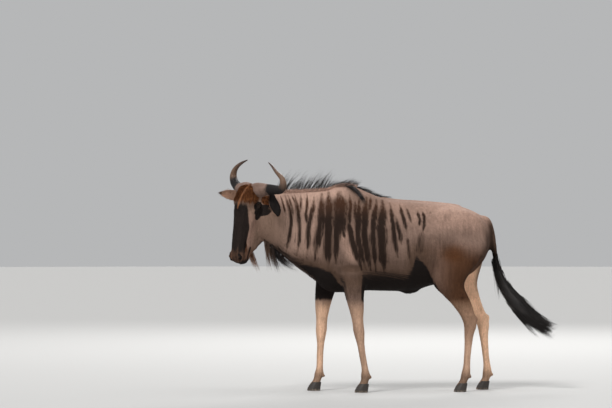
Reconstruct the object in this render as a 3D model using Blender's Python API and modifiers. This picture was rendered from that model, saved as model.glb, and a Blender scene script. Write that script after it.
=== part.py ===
"""A blue wildebeest bull in mid stride, head turned a little to its left: a still, life-size museum model.

Metres, +Z up. The animal faces -Y, its left side is +X, and its hooves stand on z = 0.
"""

import math
import random

import bmesh
import bpy
import numpy as np
from mathutils import Matrix, Vector
from mathutils.bvhtree import BVHTree

# Driving sizes
GAP = 0.0003
ORIGIN_SHIFT = Vector((-0.0316, 0.0700, 0.0))

# Resolution of the fused body and how many triangles its two halves keep
SEED = 7
VOXEL = 0.007
SMOOTHING_ROUNDS = 30
BODY_TRIANGLES = 4800
DETAIL_BIAS = 0.0018

# Head pose: heading from straight ahead towards the animal's left, pitch of the face below level, tilt to the left
HEAD_POLL = Vector((0.150, -1.051, 1.312))
HEAD_TURN = math.radians(34.0)
HEAD_PITCH = math.radians(84.5)
HEAD_TILT = math.radians(-3.5)

# Eyes, in head space: across, down the face, out from the face
EYE_RADIUS = 0.0205
EYE_PLACE = (0.0820, 0.100, -0.092)

# Trunk stations: y, top, height of the widest place, bottom, half width, pinch of the top
TRUNK = (
    (-0.600, 1.180, 1.020, 0.820, 0.070, 1.00),
    (-0.550, 1.262, 0.980, 0.715, 0.130, 1.10),
    (-0.470, 1.315, 0.950, 0.655, 0.182, 1.35),
    (-0.390, 1.343, 0.930, 0.640, 0.208, 1.55),
    (-0.300, 1.332, 0.930, 0.645, 0.226, 1.50),
    (-0.220, 1.297, 0.930, 0.652, 0.238, 1.30),
    (-0.120, 1.257, 0.930, 0.650, 0.247, 1.12),
    (0.000, 1.240, 0.935, 0.648, 0.252, 1.00),
    (0.100, 1.233, 0.950, 0.656, 0.249, 0.95),
    (0.195, 1.226, 0.965, 0.682, 0.236, 0.92),
    (0.276, 1.218, 0.980, 0.700, 0.222, 0.90),
    (0.377, 1.205, 0.985, 0.720, 0.203, 0.92),
    (0.474, 1.172, 0.985, 0.765, 0.172, 0.97),
    (0.545, 1.128, 0.985, 0.840, 0.122, 1.00),
    (0.584, 1.060, 0.990, 0.915, 0.050, 1.00),
)

# Neck stations: x, y, top, height of the widest place, bottom, half width, pinch of the top, heading in degrees
NECK = (
    (0.000, -0.360, 1.300, 0.990, 0.700, 0.165, 1.40, 0.0),
    (0.004, -0.500, 1.312, 0.990, 0.700, 0.146, 1.40, 5.0),
    (0.017, -0.620, 1.308, 1.010, 0.772, 0.122, 1.40, 10.0),
    (0.040, -0.730, 1.304, 1.040, 0.850, 0.103, 1.35, 16.0),
    (0.068, -0.830, 1.300, 1.080, 0.930, 0.092, 1.25, 22.0),
    (0.095, -0.905, 1.290, 1.120, 0.985, 0.082, 1.10, 29.0),
    (0.112, -0.945, 1.270, 1.150, 1.030, 0.070, 1.00, 33.0),
)

# Head stations, in head space: down the face, front, back, half width in front, half width behind
HEAD = (
    (-0.040, -0.090, -0.165, 0.034, 0.034),
    (-0.026, -0.040, -0.192, 0.064, 0.056),
    (0.000, -0.014, -0.208, 0.082, 0.066),
    (0.045, 0.002, -0.222, 0.091, 0.072),
    (0.092, 0.006, -0.232, 0.092, 0.074),
    (0.138, 0.006, -0.234, 0.088, 0.072),
    (0.185, 0.004, -0.226, 0.080, 0.066),
    (0.238, 0.004, -0.212, 0.071, 0.057),
    (0.289, 0.005, -0.189, 0.064, 0.048),
    (0.340, 0.004, -0.165, 0.060, 0.043),
    (0.383, 0.001, -0.144, 0.061, 0.043),
    (0.419, -0.006, -0.123, 0.063, 0.044),
    (0.449, -0.015, -0.115, 0.064, 0.046),
    (0.470, -0.032, -0.100, 0.056, 0.038),
    (0.480, -0.052, -0.082, 0.032, 0.022),
)

# Leg stations: height, half depth, half width
FORELEG = (
    (1.040, 0.070, 0.030),
    (0.960, 0.105, 0.052),
    (0.880, 0.116, 0.066),
    (0.790, 0.106, 0.068),
    (0.720, 0.086, 0.060),
    (0.640, 0.067, 0.051),
    (0.560, 0.054, 0.044),
    (0.480, 0.041, 0.037),
    (0.430, 0.0375, 0.037),
    (0.395, 0.038, 0.039),
    (0.350, 0.032, 0.033),
    (0.300, 0.0255, 0.0245),
    (0.220, 0.0235, 0.0215),
    (0.150, 0.024, 0.0225),
    (0.110, 0.0315, 0.0290),
    (0.075, 0.0275, 0.0275),
    (0.030, 0.036, 0.036),
)
HINDLEG = (
    (1.110, 0.110, 0.050),
    (1.020, 0.160, 0.082),
    (0.940, 0.178, 0.098),
    (0.860, 0.160, 0.100),
    (0.790, 0.138, 0.092),
    (0.710, 0.108, 0.075),
    (0.665, 0.094, 0.064),
    (0.620, 0.082, 0.054),
    (0.560, 0.066, 0.044),
    (0.500, 0.052, 0.036),
    (0.450, 0.046, 0.034),
    (0.410, 0.040, 0.033),
    (0.360, 0.0315, 0.0275),
    (0.280, 0.0255, 0.0225),
    (0.180, 0.0240, 0.0215),
    (0.110, 0.0315, 0.0285),
    (0.075, 0.0275, 0.0265),
    (0.030, 0.036, 0.035),
)

# The line each leg follows: height, across, along
LEG_LINES = {
    "foreleg_left": ((1.04, 0.135, -0.400), (0.88, 0.150, -0.365), (0.76, 0.148, -0.322), (0.64, 0.138, -0.316),
                     (0.53, 0.130, -0.300), (0.395, 0.124, -0.284), (0.25, 0.120, -0.262), (0.11, 0.117, -0.240),
                     (0.03, 0.116, -0.262)),
    "foreleg_right": ((1.04, -0.135, -0.420), (0.88, -0.150, -0.430), (0.76, -0.148, -0.440), (0.64, -0.138, -0.474),
                      (0.53, -0.130, -0.492), (0.395, -0.124, -0.500), (0.25, -0.120, -0.508), (0.11, -0.117, -0.516),
                      (0.03, -0.116, -0.548)),
    "hindleg_left": ((1.11, 0.100, 0.400), (0.94, 0.128, 0.385), (0.86, 0.135, 0.352), (0.71, 0.140, 0.296),
                     (0.62, 0.138, 0.345), (0.56, 0.135, 0.388), (0.45, 0.130, 0.438), (0.36, 0.126, 0.432),
                     (0.25, 0.122, 0.424), (0.11, 0.118, 0.412), (0.03, 0.117, 0.378)),
    "hindleg_right": ((1.11, -0.100, 0.400), (0.94, -0.128, 0.402), (0.86, -0.135, 0.412), (0.71, -0.140, 0.424),
                      (0.62, -0.138, 0.462), (0.56, -0.135, 0.496), (0.45, -0.130, 0.560), (0.36, -0.126, 0.570),
                      (0.25, -0.122, 0.580), (0.11, -0.118, 0.592), (0.03, -0.117, 0.562)),
}

LEG_SIZES = {"foreleg_left": FORELEG, "foreleg_right": FORELEG, "hindleg_left": HINDLEG, "hindleg_right": HINDLEG}
HOCK_Z = 0.462
ELBOW_Z = 0.775
DEWCLAW_Z = 0.098

# The block of space each leg is parted by: its front and back, and the height of its sloping top
# at its inner and outer sides
LEG_BLOCKS = {
    "foreleg_left": (-0.520, -0.190, 0.640, 0.870),
    "foreleg_right": (-0.620, -0.300, 0.640, 0.870),
    "hindleg_left": (0.130, 0.640, 0.700, 1.060),
    "hindleg_right": (0.160, 0.700, 0.700, 1.060),
}
LEG_BLOCK_SIDES = (0.020, 0.300)
HEAD_BLOCK = 0.5

# Hooves
HOOF_TOP_Z = 0.056
HOOF_LEAD = -0.016
CLAW_SPLIT = 0.003
HOOF_SIDES = 14

# Horns, in head space: across, down the face, out from the face, radius
HORN = (
    (0.016, 0.006, -0.098, 0.046),
    (0.056, 0.003, -0.098, 0.047),
    (0.100, 0.009, -0.102, 0.040),
    (0.148, 0.018, -0.112, 0.031),
    (0.196, 0.018, -0.124, 0.0270),
    (0.237, 0.000, -0.133, 0.0240),
    (0.257, -0.040, -0.136, 0.0205),
    (0.248, -0.090, -0.133, 0.0165),
    (0.216, -0.134, -0.127, 0.0125),
    (0.166, -0.167, -0.121, 0.0085),
    (0.110, -0.190, -0.117, 0.0035),
)

# Ears: share of the length, half width, depth of the cup, set back of the middle line
EAR_LENGTH = 0.200
EAR_WALL = 0.0055
EAR_BEND = -0.015
EAR = (
    (-0.10, 0.016, 0.014, 0.000),
    (0.05, 0.019, 0.016, 0.000),
    (0.20, 0.026, 0.018, 0.000),
    (0.38, 0.033, 0.017, 0.000),
    (0.56, 0.033, 0.015, 0.000),
    (0.74, 0.027, 0.013, 0.000),
    (0.88, 0.016, 0.010, 0.000),
    (1.00, 0.0065, 0.0065, 0.000),
)

# Root, direction and way the cup faces of each ear
EAR_POSES = {
    "left": ((0.145, -0.908, 1.238), (0.78, 0.22, -0.45), (0.22, -0.93, -0.22)),
    "right": ((0.018, -0.998, 1.256), (-0.44, -0.88, 0.14), (0.85, -0.50, -0.05)),
}

# Lids and mouth
LID_SPIN = 20.0
MOUTH_DEPTH = 0.0028
MOUTH_LENGTH = 0.105

# Tail: x, y, z, radius; the tuft starts at the split
TAIL_SPLIT = 4
TUFT_START = 0.44
TUFT_CORE = 0.74
TAIL = (
    (0.000, 0.535, 1.118, 0.027),
    (0.002, 0.573, 1.098, 0.027),
    (0.004, 0.604, 1.010, 0.022),
    (0.006, 0.622, 0.890, 0.019),
    (0.008, 0.640, 0.790, 0.020),
    (0.010, 0.682, 0.676, 0.038),
    (0.012, 0.744, 0.588, 0.058),
    (0.013, 0.818, 0.512, 0.058),
    (0.014, 0.898, 0.452, 0.040),
    (0.015, 0.985, 0.408, 0.010),
)

# Locks: how many, and the range of their lengths and widths
LOCK_RINGS = 4
MANE_LOCKS = 42
MANE_LENGTH = (0.115, 0.165)
MANE_WIDTH = (0.028, 0.040)
MANE_ENDS = (-0.895, -0.330)
BACK_LOCKS = 9
BACK_ENDS = (-0.325, -0.120)
BEARD_LOCKS = 22
BEARD_ENDS = (-0.895, -0.665)
BEARD_LENGTH = (0.120, 0.215)
BEARD_WIDTH = (0.020, 0.030)
CHIN_LOCKS = 9
CHIN_LENGTH = (0.080, 0.130)
TUFT_LOCKS = 36
TUFT_LENGTH = (0.150, 0.250)
TUFT_WIDTH = (0.026, 0.042)

# Colour and roughness of each kind of piece
MATERIALS = {
    "coat": ((0.190, 0.150, 0.130), 0.75),
    "head": ((0.130, 0.095, 0.080), 0.75),
    "ear": ((0.150, 0.110, 0.090), 0.80),
    "horn": ((0.110, 0.095, 0.085), 0.50),
    "eye": ((0.015, 0.010, 0.008), 0.10),
    "hoof": ((0.045, 0.038, 0.034), 0.50),
    "tail": ((0.060, 0.048, 0.042), 0.80),
}


def clear_scene():
    for old in list(bpy.data.objects):
        bpy.data.objects.remove(old, do_unlink=True)


def smooth_rows(rows, count):
    """Rows read evenly along a Catmull-Rom curve through the given rows."""
    keys = np.array(rows, float)
    keys = np.vstack([2 * keys[0] - keys[1], keys, 2 * keys[-1] - keys[-2]])
    places = np.linspace(0, len(rows) - 1, count)
    start = np.minimum(places.astype(int), len(rows) - 2)
    t = (places - start)[:, None]
    a, b, c, d = (keys[start + k] for k in range(4))
    return 0.5 * (2 * b + (c - a) * t + (2 * a - 5 * b + 4 * c - d) * t**2 + (3 * b - a - 3 * c + d) * t**3)


def at_height(line, z):
    """The row of a leg's line at height z, by linear reading of its smooth curve."""
    rows = smooth_rows(line, 8 * len(line))
    order = rows[:, 0].argsort()
    return [np.interp(z, rows[order, 0], rows[order, k]) for k in range(1, rows.shape[1])]


def new_object(name, verts, faces):
    mesh = bpy.data.meshes.new(name)
    mesh.from_pydata([tuple(v) for v in verts], [], faces)
    mesh.validate()
    obj = bpy.data.objects.new(name, mesh)
    bpy.context.scene.collection.objects.link(obj)
    return obj


def loft(name, rings):
    """A closed skin over rings of equal length, with a flat cap at each end."""
    rings = np.array(rings, float)
    count, around = rings.shape[:2]
    faces = []
    for i in range(count - 1):
        for j in range(around):
            k = (j + 1) % around
            faces.append((i * around + j, i * around + k, (i + 1) * around + k, (i + 1) * around + j))
    faces.append(tuple(range(around))[::-1])
    faces.append(tuple((count - 1) * around + j for j in range(around)))
    obj = new_object(name, rings.reshape(-1, 3), faces)
    face_out(obj)
    return obj


def face_out(obj):
    bm = bmesh.new()
    bm.from_mesh(obj.data)
    bmesh.ops.recalc_face_normals(bm, faces=bm.faces)
    bm.to_mesh(obj.data)
    bm.free()


def power(value, exponent):
    return np.sign(value) * np.abs(value) ** exponent


def trunk_form(around=40):
    angle = np.linspace(0, 2 * np.pi, around, endpoint=False)
    rings = []
    for y, top, wide, bottom, half, pinch in smooth_rows(TRUNK, 60):
        up = np.cos(angle)
        z = np.where(up > 0, wide + (top - wide) * up, wide + (wide - bottom) * up)
        x = half * power(np.sin(angle), np.where(up > 0, pinch, 0.92))
        rings.append(np.column_stack([x, np.full(around, y), z]))
    return loft("trunk_form", rings)


def neck_form(around=32):
    angle = np.linspace(0, 2 * np.pi, around, endpoint=False)
    rings = []
    for x, y, top, wide, bottom, half, pinch, heading in smooth_rows(NECK, 30):
        up = np.cos(angle)
        z = np.where(up > 0, wide + (top - wide) * up, wide + (wide - bottom) * up)
        side = half * power(np.sin(angle), np.where(up > 0, pinch, 1.05))
        turn = math.radians(heading)
        rings.append(np.column_stack([x + side * math.cos(turn), y + side * math.sin(turn), z]))
    return loft("neck_form", rings)


def leg_form(name, sizes, around=20):
    angle = np.linspace(0, 2 * np.pi, around, endpoint=False)
    rings = []
    for z, depth, width in smooth_rows(sizes, 4 * len(sizes)):
        x, y = at_height(LEG_LINES[name], z)
        rings.append(np.column_stack([x + width * power(np.sin(angle), 0.9), y - depth * np.cos(angle),
                                      np.full(around, z)]))
    return loft(name + "_form", rings)


def head_matrix():
    """Head space to model space. Its axes run across to the animal's left, down the face and out from the face."""
    ahead = Vector((math.sin(HEAD_TURN), -math.cos(HEAD_TURN), 0))
    left = Vector((math.cos(HEAD_TURN), math.sin(HEAD_TURN), 0))
    down = ahead * math.cos(HEAD_PITCH) - Vector((0, 0, math.sin(HEAD_PITCH)))
    out = ahead * math.sin(HEAD_PITCH) + Vector((0, 0, math.cos(HEAD_PITCH)))
    basis = Matrix((left, down, out)).transposed()
    tilt = Matrix.Rotation(HEAD_TILT, 3, ahead)
    return Matrix.Translation(HEAD_POLL) @ (tilt @ basis).to_4x4()


def head_form(around=36):
    angle = np.linspace(0, 2 * np.pi, around, endpoint=False)
    rings = []
    for s, front, back, wide, narrow in smooth_rows(HEAD, 50):
        out, side = np.cos(angle), np.sin(angle)
        n = (front + back) / 2 + (front - back) / 2 * power(out, 0.72)
        share = (out + 1) / 2
        x = (narrow + (wide - narrow) * share) * power(side, 0.80)
        rings.append(np.column_stack([x, np.full(around, s), n]))
    obj = loft("head_form", rings)
    obj.data.transform(head_matrix())
    return obj


def blob(name, centre, radii, turn=(0, 0, 0), space=None):
    """An ellipsoid of the three radii, turned and placed in model or head space."""
    bm = bmesh.new()
    bmesh.ops.create_uvsphere(bm, u_segments=16, v_segments=9, radius=1)
    mesh = bpy.data.meshes.new(name)
    bm.to_mesh(mesh)
    bm.free()
    euler = Matrix.Rotation(turn[2], 4, "Z") @ Matrix.Rotation(turn[1], 4, "Y") @ Matrix.Rotation(turn[0], 4, "X")
    mesh.transform(Matrix.Translation(centre) @ euler @ Matrix.Diagonal((*radii, 1)))
    if space is not None:
        mesh.transform(space)
        if space.determinant() < 0:
            mesh.flip_normals()
    obj = bpy.data.objects.new(name, mesh)
    bpy.context.scene.collection.objects.link(obj)
    return obj


def muscle_forms():
    """Masses that break the plain run of trunk, neck and legs."""
    made = []
    for side in (1, -1):
        step = 0.0 if side > 0 else -0.035
        made.append(blob("shoulder_blade", (side * 0.112, -0.335 + step, 1.04), (0.082, 0.100, 0.190),
                         (math.radians(-14), side * math.radians(-8), 0)))
        made.append(blob("upper_arm", (side * 0.140, -0.385 + step, 0.87), (0.078, 0.135, 0.105),
                         (math.radians(38), 0, 0)))
        made.append(blob("haunch", (side * 0.100, 0.385, 1.03), (0.108, 0.185, 0.150), (math.radians(-20), 0, 0)))
        made.append(blob("hip_point", (side * 0.138, 0.262, 1.135), (0.052, 0.085, 0.050), (0, 0, 0)))
    made.append(blob("sheath", (0, 0.070, 0.655), (0.022, 0.070, 0.026), (math.radians(8), 0, 0)))
    made.append(blob("brisket", (0, -0.455, 0.735), (0.085, 0.115, 0.085), (math.radians(-35), 0, 0)))
    for name, sizes in LEG_SIZES.items():
        joint, back = (HOCK_Z, 0.037) if sizes is HINDLEG else (ELBOW_Z, 0.075)
        x, y = at_height(LEG_LINES[name], joint)
        radii = (0.017, 0.020, 0.034) if sizes is HINDLEG else (0.030, 0.034, 0.040)
        made.append(blob("joint_point", (x, y + back, joint), radii, (math.radians(-20), 0, 0)))
        x, y = at_height(LEG_LINES[name], DEWCLAW_Z)
        for side in (1, -1):
            made.append(blob("dewclaw", (x + side * 0.013, y + 0.032, DEWCLAW_Z), (0.0105, 0.0110, 0.0150),
                             (math.radians(25), 0, 0)))
    return made


def head_masses():
    """Brow, cheek, nose and lip masses, in head space."""
    space = head_matrix()
    made = []
    for side in (1, -1):
        made.append(blob("brow", (side * 0.068, 0.078, -0.042), (0.026, 0.036, 0.028), (0, 0, 0), space))
        made.append(blob("cheek", (side * 0.046, 0.165, -0.150), (0.034, 0.085, 0.066), (math.radians(25), 0, 0), space))
        made.append(blob("cheek_bone", (side * 0.066, 0.190, -0.070), (0.018, 0.075, 0.020), (0, 0, side * 0.14), space))
        made.append(blob("nostril_flare", (side * 0.045, 0.433, -0.034), (0.021, 0.036, 0.028), (0, 0, 0), space))
        made.append(blob("upper_lip", (side * 0.034, 0.452, -0.060), (0.030, 0.024, 0.026), (0, 0, 0), space))
    made.append(blob("chin", (0, 0.430, -0.106), (0.038, 0.036, 0.020), (0, 0, 0), space))
    made.append(blob("nose_bridge", (0, 0.262, -0.022), (0.042, 0.165, 0.032), (0, 0, 0), space))
    return made


def joined(name, pieces):
    """One object of all the pieces' meshes, still as loose shells."""
    bm = bmesh.new()
    for piece in pieces:
        bm.from_mesh(piece.data)
        bpy.data.objects.remove(piece)
    mesh = bpy.data.meshes.new(name)
    bm.to_mesh(mesh)
    bm.free()
    obj = bpy.data.objects.new(name, mesh)
    bpy.context.scene.collection.objects.link(obj)
    return obj


def apply_modifiers(obj):
    graph = bpy.context.evaluated_depsgraph_get()
    mesh = bpy.data.meshes.new_from_object(obj.evaluated_get(graph))
    obj.modifiers.clear()
    old = obj.data
    obj.data = mesh
    bpy.data.meshes.remove(old)


def points_of(mesh):
    co = np.zeros(len(mesh.vertices) * 3)
    mesh.vertices.foreach_get("co", co)
    return co.reshape(-1, 3)


def relax(obj, rounds, softness):
    """Smooths the mesh. Where softness is below 1, a push back in each round keeps thin parts from shrinking."""
    mesh = obj.data
    co = points_of(mesh)
    count = len(co)
    edges = np.zeros(len(mesh.edges) * 2, int)
    mesh.edges.foreach_get("vertices", edges)
    a, b = edges.reshape(-1, 2).T
    valence = (np.bincount(a, minlength=count) + np.bincount(b, minlength=count))[:, None]
    soft = softness(co)[:, None]
    for step in range(2 * rounds):
        mean = np.column_stack([np.bincount(a, co[b, k], count) + np.bincount(b, co[a, k], count) for k in range(3)])
        share = 0.60 * soft if step % 2 == 0 else -0.62 * soft * (1 - soft)
        co = co + share * (mean / valence - co)
    mesh.vertices.foreach_set("co", co.ravel())
    mesh.update()


def fused(name, pieces, voxel):
    obj = joined(name, pieces)
    remesh = obj.modifiers.new("Remesh", "REMESH")
    remesh.mode = "VOXEL"
    remesh.voxel_size = voxel
    apply_modifiers(obj)
    return obj


def in_head_space(points):
    inverse = np.array(head_matrix().inverted())
    return points @ inverse[:3, :3].T + inverse[:3, 3]


def head_share(points):
    """1 on the head, 0 on the rest of the body, with a short blend behind the ears and jaw."""
    head = in_head_space(points)
    ahead = head[:, 2] + 0.20 * head[:, 1] + 0.22
    return np.clip(ahead / 0.06, 0, 1) * (points[:, 1] < -0.80)


def body_softness(points):
    """How much each point of the body is smoothed: most on the trunk, less on the shins and the face."""
    shin = np.clip((points[:, 2] - 0.35) / 0.45, 0, 1)
    return 0.35 + 0.65 * shin * (1 - 0.8 * head_share(points))


def thinned(obj, triangles, keep):
    """Fewer triangles, with more of them kept where keep is 1."""
    group = obj.vertex_groups.new(name="thinning")
    weights = 1 - 0.9 * keep(points_of(obj.data))
    for index, weight in enumerate(weights):
        group.add([index], float(weight), "REPLACE")
    decimate = obj.modifiers.new("Decimate", "DECIMATE")
    decimate.vertex_group = group.name
    decimate.vertex_group_factor = DETAIL_BIAS
    decimate.use_collapse_triangulate = True
    decimate.ratio = triangles / (2 * len(obj.data.polygons))
    apply_modifiers(obj)
    obj.vertex_groups.clear()


def body_form(voxel):
    pieces = [trunk_form(), neck_form(), head_form()]
    pieces += [leg_form(name, sizes) for name, sizes in LEG_SIZES.items()]
    pieces += muscle_forms() + head_masses()
    obj = fused("body_form", pieces, voxel)
    relax(obj, SMOOTHING_ROUNDS, body_softness)
    return obj


def boolean(obj, other, operation, remove=True, solver="EXACT"):
    cut = obj.modifiers.new("Boolean", "BOOLEAN")
    cut.operation = operation
    cut.solver = solver
    cut.object = other
    apply_modifiers(obj)
    if remove:
        bpy.data.objects.remove(other)
    return obj


def union_all(obj, pieces):
    """The object fused with all the pieces at once, keeping only the largest closed surface."""
    group = bpy.data.collections.new("fused_pieces")
    for piece in pieces:
        group.objects.link(piece)
    bpy.context.scene.collection.children.link(group)
    cut = obj.modifiers.new("Boolean", "BOOLEAN")
    cut.operation = "UNION"
    cut.solver = "EXACT"
    cut.operand_type = "COLLECTION"
    cut.collection = group
    apply_modifiers(obj)
    for piece in list(group.objects):
        bpy.data.objects.remove(piece)
    bpy.data.collections.remove(group)
    keep_largest(obj)
    return obj


def keep_largest(obj):
    bm = bmesh.new()
    bm.from_mesh(obj.data)
    left = set(bm.verts)
    shells = []
    while left:
        stack = [left.pop()]
        shell = list(stack)
        while stack:
            for edge in stack.pop().link_edges:
                for vert in edge.verts:
                    if vert in left:
                        left.discard(vert)
                        stack.append(vert)
                        shell.append(vert)
        shells.append(shell)
    shells.sort(key=len)
    bmesh.ops.delete(bm, geom=[v for shell in shells[:-1] for v in shell], context="VERTS")
    bm.to_mesh(obj.data)
    bm.free()


def copied(obj, name):
    twin = bpy.data.objects.new(name, obj.data.copy())
    bpy.context.scene.collection.objects.link(twin)
    return twin


def swollen(obj, amount):
    """A copy whose surface is moved out, used to cut a neighbour with a gap."""
    twin = copied(obj, obj.name + "_swollen")
    displace = twin.modifiers.new("Displace", "DISPLACE")
    displace.strength = amount
    displace.mid_level = 0.0
    apply_modifiers(twin)
    return twin


def clear_of(obj, *others):
    """Cuts the object back from the others' surfaces, so that it meets each of them across the gap."""
    for other in others:
        boolean(obj, swollen(other, GAP * 1.2), "DIFFERENCE")
    keep_largest(obj)
    return obj


def box(name, centre, size, basis=None, grow=0.0):
    """A box with its axes along the basis columns, grown by the same amount on every side."""
    bm = bmesh.new()
    bmesh.ops.create_cube(bm, size=1)
    mesh = bpy.data.meshes.new(name)
    bm.to_mesh(mesh)
    bm.free()
    mesh.transform(Matrix.Diagonal((*(s + 2 * grow for s in size), 1)))
    turn = basis.to_4x4() if basis is not None else Matrix.Identity(4)
    mesh.transform(Matrix.Translation(centre) @ turn)
    if turn.determinant() < 0:
        mesh.flip_normals()
    obj = bpy.data.objects.new(name, mesh)
    bpy.context.scene.collection.objects.link(obj)
    return obj


def parting_box(name, grow=0.0):
    """The block of space that holds one node. Its near face is the parting face."""
    if name == "head":
        space = head_matrix()
        down = Vector((0, 1, -0.20)).normalized()
        out = Vector((0, 0.20, 1)).normalized()
        basis = Matrix((Vector((1, 0, 0)), down, out)).transposed()
        place = space @ (Vector((0, 0.05, -0.196)) + out * HEAD_BLOCK / 2)
        return box(name, place, (0.6, 1.2, HEAD_BLOCK), space.to_3x3() @ basis, grow)
    if name == "neck":
        ahead = Vector((0.06, -1.0, 0.30)).normalized()
        left = ahead.cross(Vector((0, 0, 1))).normalized() * -1
        basis = Matrix((left, ahead, left.cross(ahead))).transposed()
        return box(name, Vector((0, -0.545, 1.03)) + ahead * 0.45, (1.0, 0.90, 1.4), basis, grow)
    side = 1 if name.endswith("left") else -1
    front, back, inner_top, outer_top = LEG_BLOCKS[name]
    inner, outer = LEG_BLOCK_SIDES
    obj = box(name, (0, 0, 0), (2, 2, 2))
    for vert in obj.data.vertices:
        far = vert.co.x * side > 0
        x = outer + grow if far else inner - grow
        top = (outer_top if far else inner_top) + 1.3 * grow
        vert.co = (side * x, back + grow if vert.co.y > 0 else front - grow, top if vert.co.z > 0 else -0.2)
    return obj


def part_body(body):
    """Head, neck, torso and legs, parted by thin cuts."""
    nodes = {}
    torso = body
    for name in ("head", "neck", *LEG_LINES):
        node = copied(torso, name)
        boolean(node, parting_box(name), "INTERSECT")
        boolean(torso, parting_box(name, GAP), "DIFFERENCE")
        keep_largest(node)
        nodes[name] = node
    keep_largest(torso)
    torso.name = "torso"
    nodes["torso"] = torso
    for name in LEG_LINES:
        floor = box("ankle", (0, 0, HOOF_TOP_Z / 2 - 0.25), (4, 4, HOOF_TOP_Z + 0.5 + GAP))
        boolean(nodes[name], floor, "DIFFERENCE")
    return nodes


def swept(name, rows, around=12, guide=(1, 0, 0), widen=1.0):
    """A tapering round bar along rows of x, y, z, radius, made wider or narrower along the guide direction."""
    rows = smooth_rows(rows, 2 * len(rows) + 1)
    path, radii = rows[:, :3], rows[:, 3]
    ahead = np.gradient(path, axis=0)
    ahead /= np.linalg.norm(ahead, axis=1)[:, None]
    angle = np.linspace(0, 2 * np.pi, around, endpoint=False)
    guide = np.array(guide, float)
    rings = []
    for point, tangent, radius in zip(path, ahead, radii):
        across = guide - tangent * guide.dot(tangent)
        across /= np.linalg.norm(across)
        over = np.cross(tangent, across)
        wide = radius * widen
        rings.append(point + radius * np.outer(np.cos(angle), over) + wide * np.outer(np.sin(angle), across))
    return loft(name, rings)


def horn_node(side):
    """A horn that runs out and a little down from the crown, then up and in at the tip."""
    rows = [(side * x, s, n, radius) for x, s, n, radius in HORN]
    obj = swept(f"horn_{'left' if side > 0 else 'right'}", rows, 12, (0, 0, 1))
    obj.data.transform(head_matrix())
    face_out(obj)
    return obj


def ear_node(side):
    """A cupped leaf. Its open side faces ahead and its edges are thin."""
    name = "left" if side > 0 else "right"
    root, along, face = EAR_POSES[name]
    along = Vector(along).normalized()
    face = Vector(face)
    face = (face - along * face.dot(along)).normalized()
    across = along.cross(face)
    rings = []
    for share, half, cup, back in smooth_rows(EAR, 12):
        arc = np.linspace(-1, 1, 7)
        outer = np.column_stack([half * np.sin(arc * 1.45), -back - cup * np.cos(arc * 1.45)])
        inner = np.column_stack([(half - EAR_WALL) * np.sin(arc * 1.45), -back - (cup - EAR_WALL) * np.cos(arc * 1.45)])
        section = np.vstack([outer, inner[::-1]])
        bend = EAR_BEND * share**2
        rings.append([Vector(root) + along * (share * EAR_LENGTH) + across * float(u) + face * float(v + bend)
                      for u, v in section])
    obj = loft("ear_" + name, rings)
    return obj


def eye_node(side):
    obj = blob(f"eye_{'left' if side > 0 else 'right'}", (side * EYE_PLACE[0], EYE_PLACE[1], EYE_PLACE[2]),
               (EYE_RADIUS,) * 3, (0, 0, 0), head_matrix())
    return obj


def lid_ring(side):
    """The rim of both lids, a ring that is long towards the nose and leans with the face."""
    bpy.ops.mesh.primitive_torus_add(major_segments=20, minor_segments=8, major_radius=EYE_RADIUS * 0.96,
                                     minor_radius=0.0048)
    obj = bpy.context.object
    look = Vector((side * 1.0, -0.05, 0.42)).normalized()
    mesh = obj.data
    mesh.transform(Matrix.Diagonal((1.22, 0.84, 1.0, 1)))
    turn = look.to_track_quat("Z", "X").to_matrix().to_4x4()
    spin = Matrix.Rotation(math.radians(LID_SPIN) * side, 4, "Z")
    place = Vector((side * EYE_PLACE[0], EYE_PLACE[1], EYE_PLACE[2])) + look * 0.0075
    mesh.transform(head_matrix() @ Matrix.Translation(place) @ turn @ spin)
    return obj


def mouth_cutter(head):
    """A tube along the line of the mouth, half sunk in the lips, from one corner round the front to the other."""
    tree = BVHTree.FromObject(head, bpy.context.evaluated_depsgraph_get())
    space = head_matrix()
    rows = []
    for share in np.linspace(-1, 1, 9):
        back = abs(share) ** 2.2
        aim = Vector((0.07 * math.sin(share * 1.5), 0.482 - MOUTH_LENGTH * back, -0.078 - 0.024 * back))
        rows.append((*tree.find_nearest(space @ aim)[0], MOUTH_DEPTH * (1 - 0.6 * share**4)))
    return swept("mouth_cutter", rows, 6, (0, 0, 1))


def finish_head(head):
    """Lids, eye sockets, nostrils and the line of the mouth."""
    union_all(head, [lid_ring(1), lid_ring(-1)])
    boolean(head, mouth_cutter(head), "DIFFERENCE")
    space = head_matrix()
    for side in (1, -1):
        eye = blob("socket", (side * EYE_PLACE[0], EYE_PLACE[1], EYE_PLACE[2]), (EYE_RADIUS + GAP * 1.5,) * 3,
                   (0, 0, 0), space)
        boolean(head, eye, "DIFFERENCE")
        nostril = blob("nostril", (side * 0.046, 0.444, -0.014), (0.0095, 0.024, 0.017),
                       (0, side * 0.5, side * -0.50), space)
        boolean(head, nostril, "DIFFERENCE")
    keep_largest(head)


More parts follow.
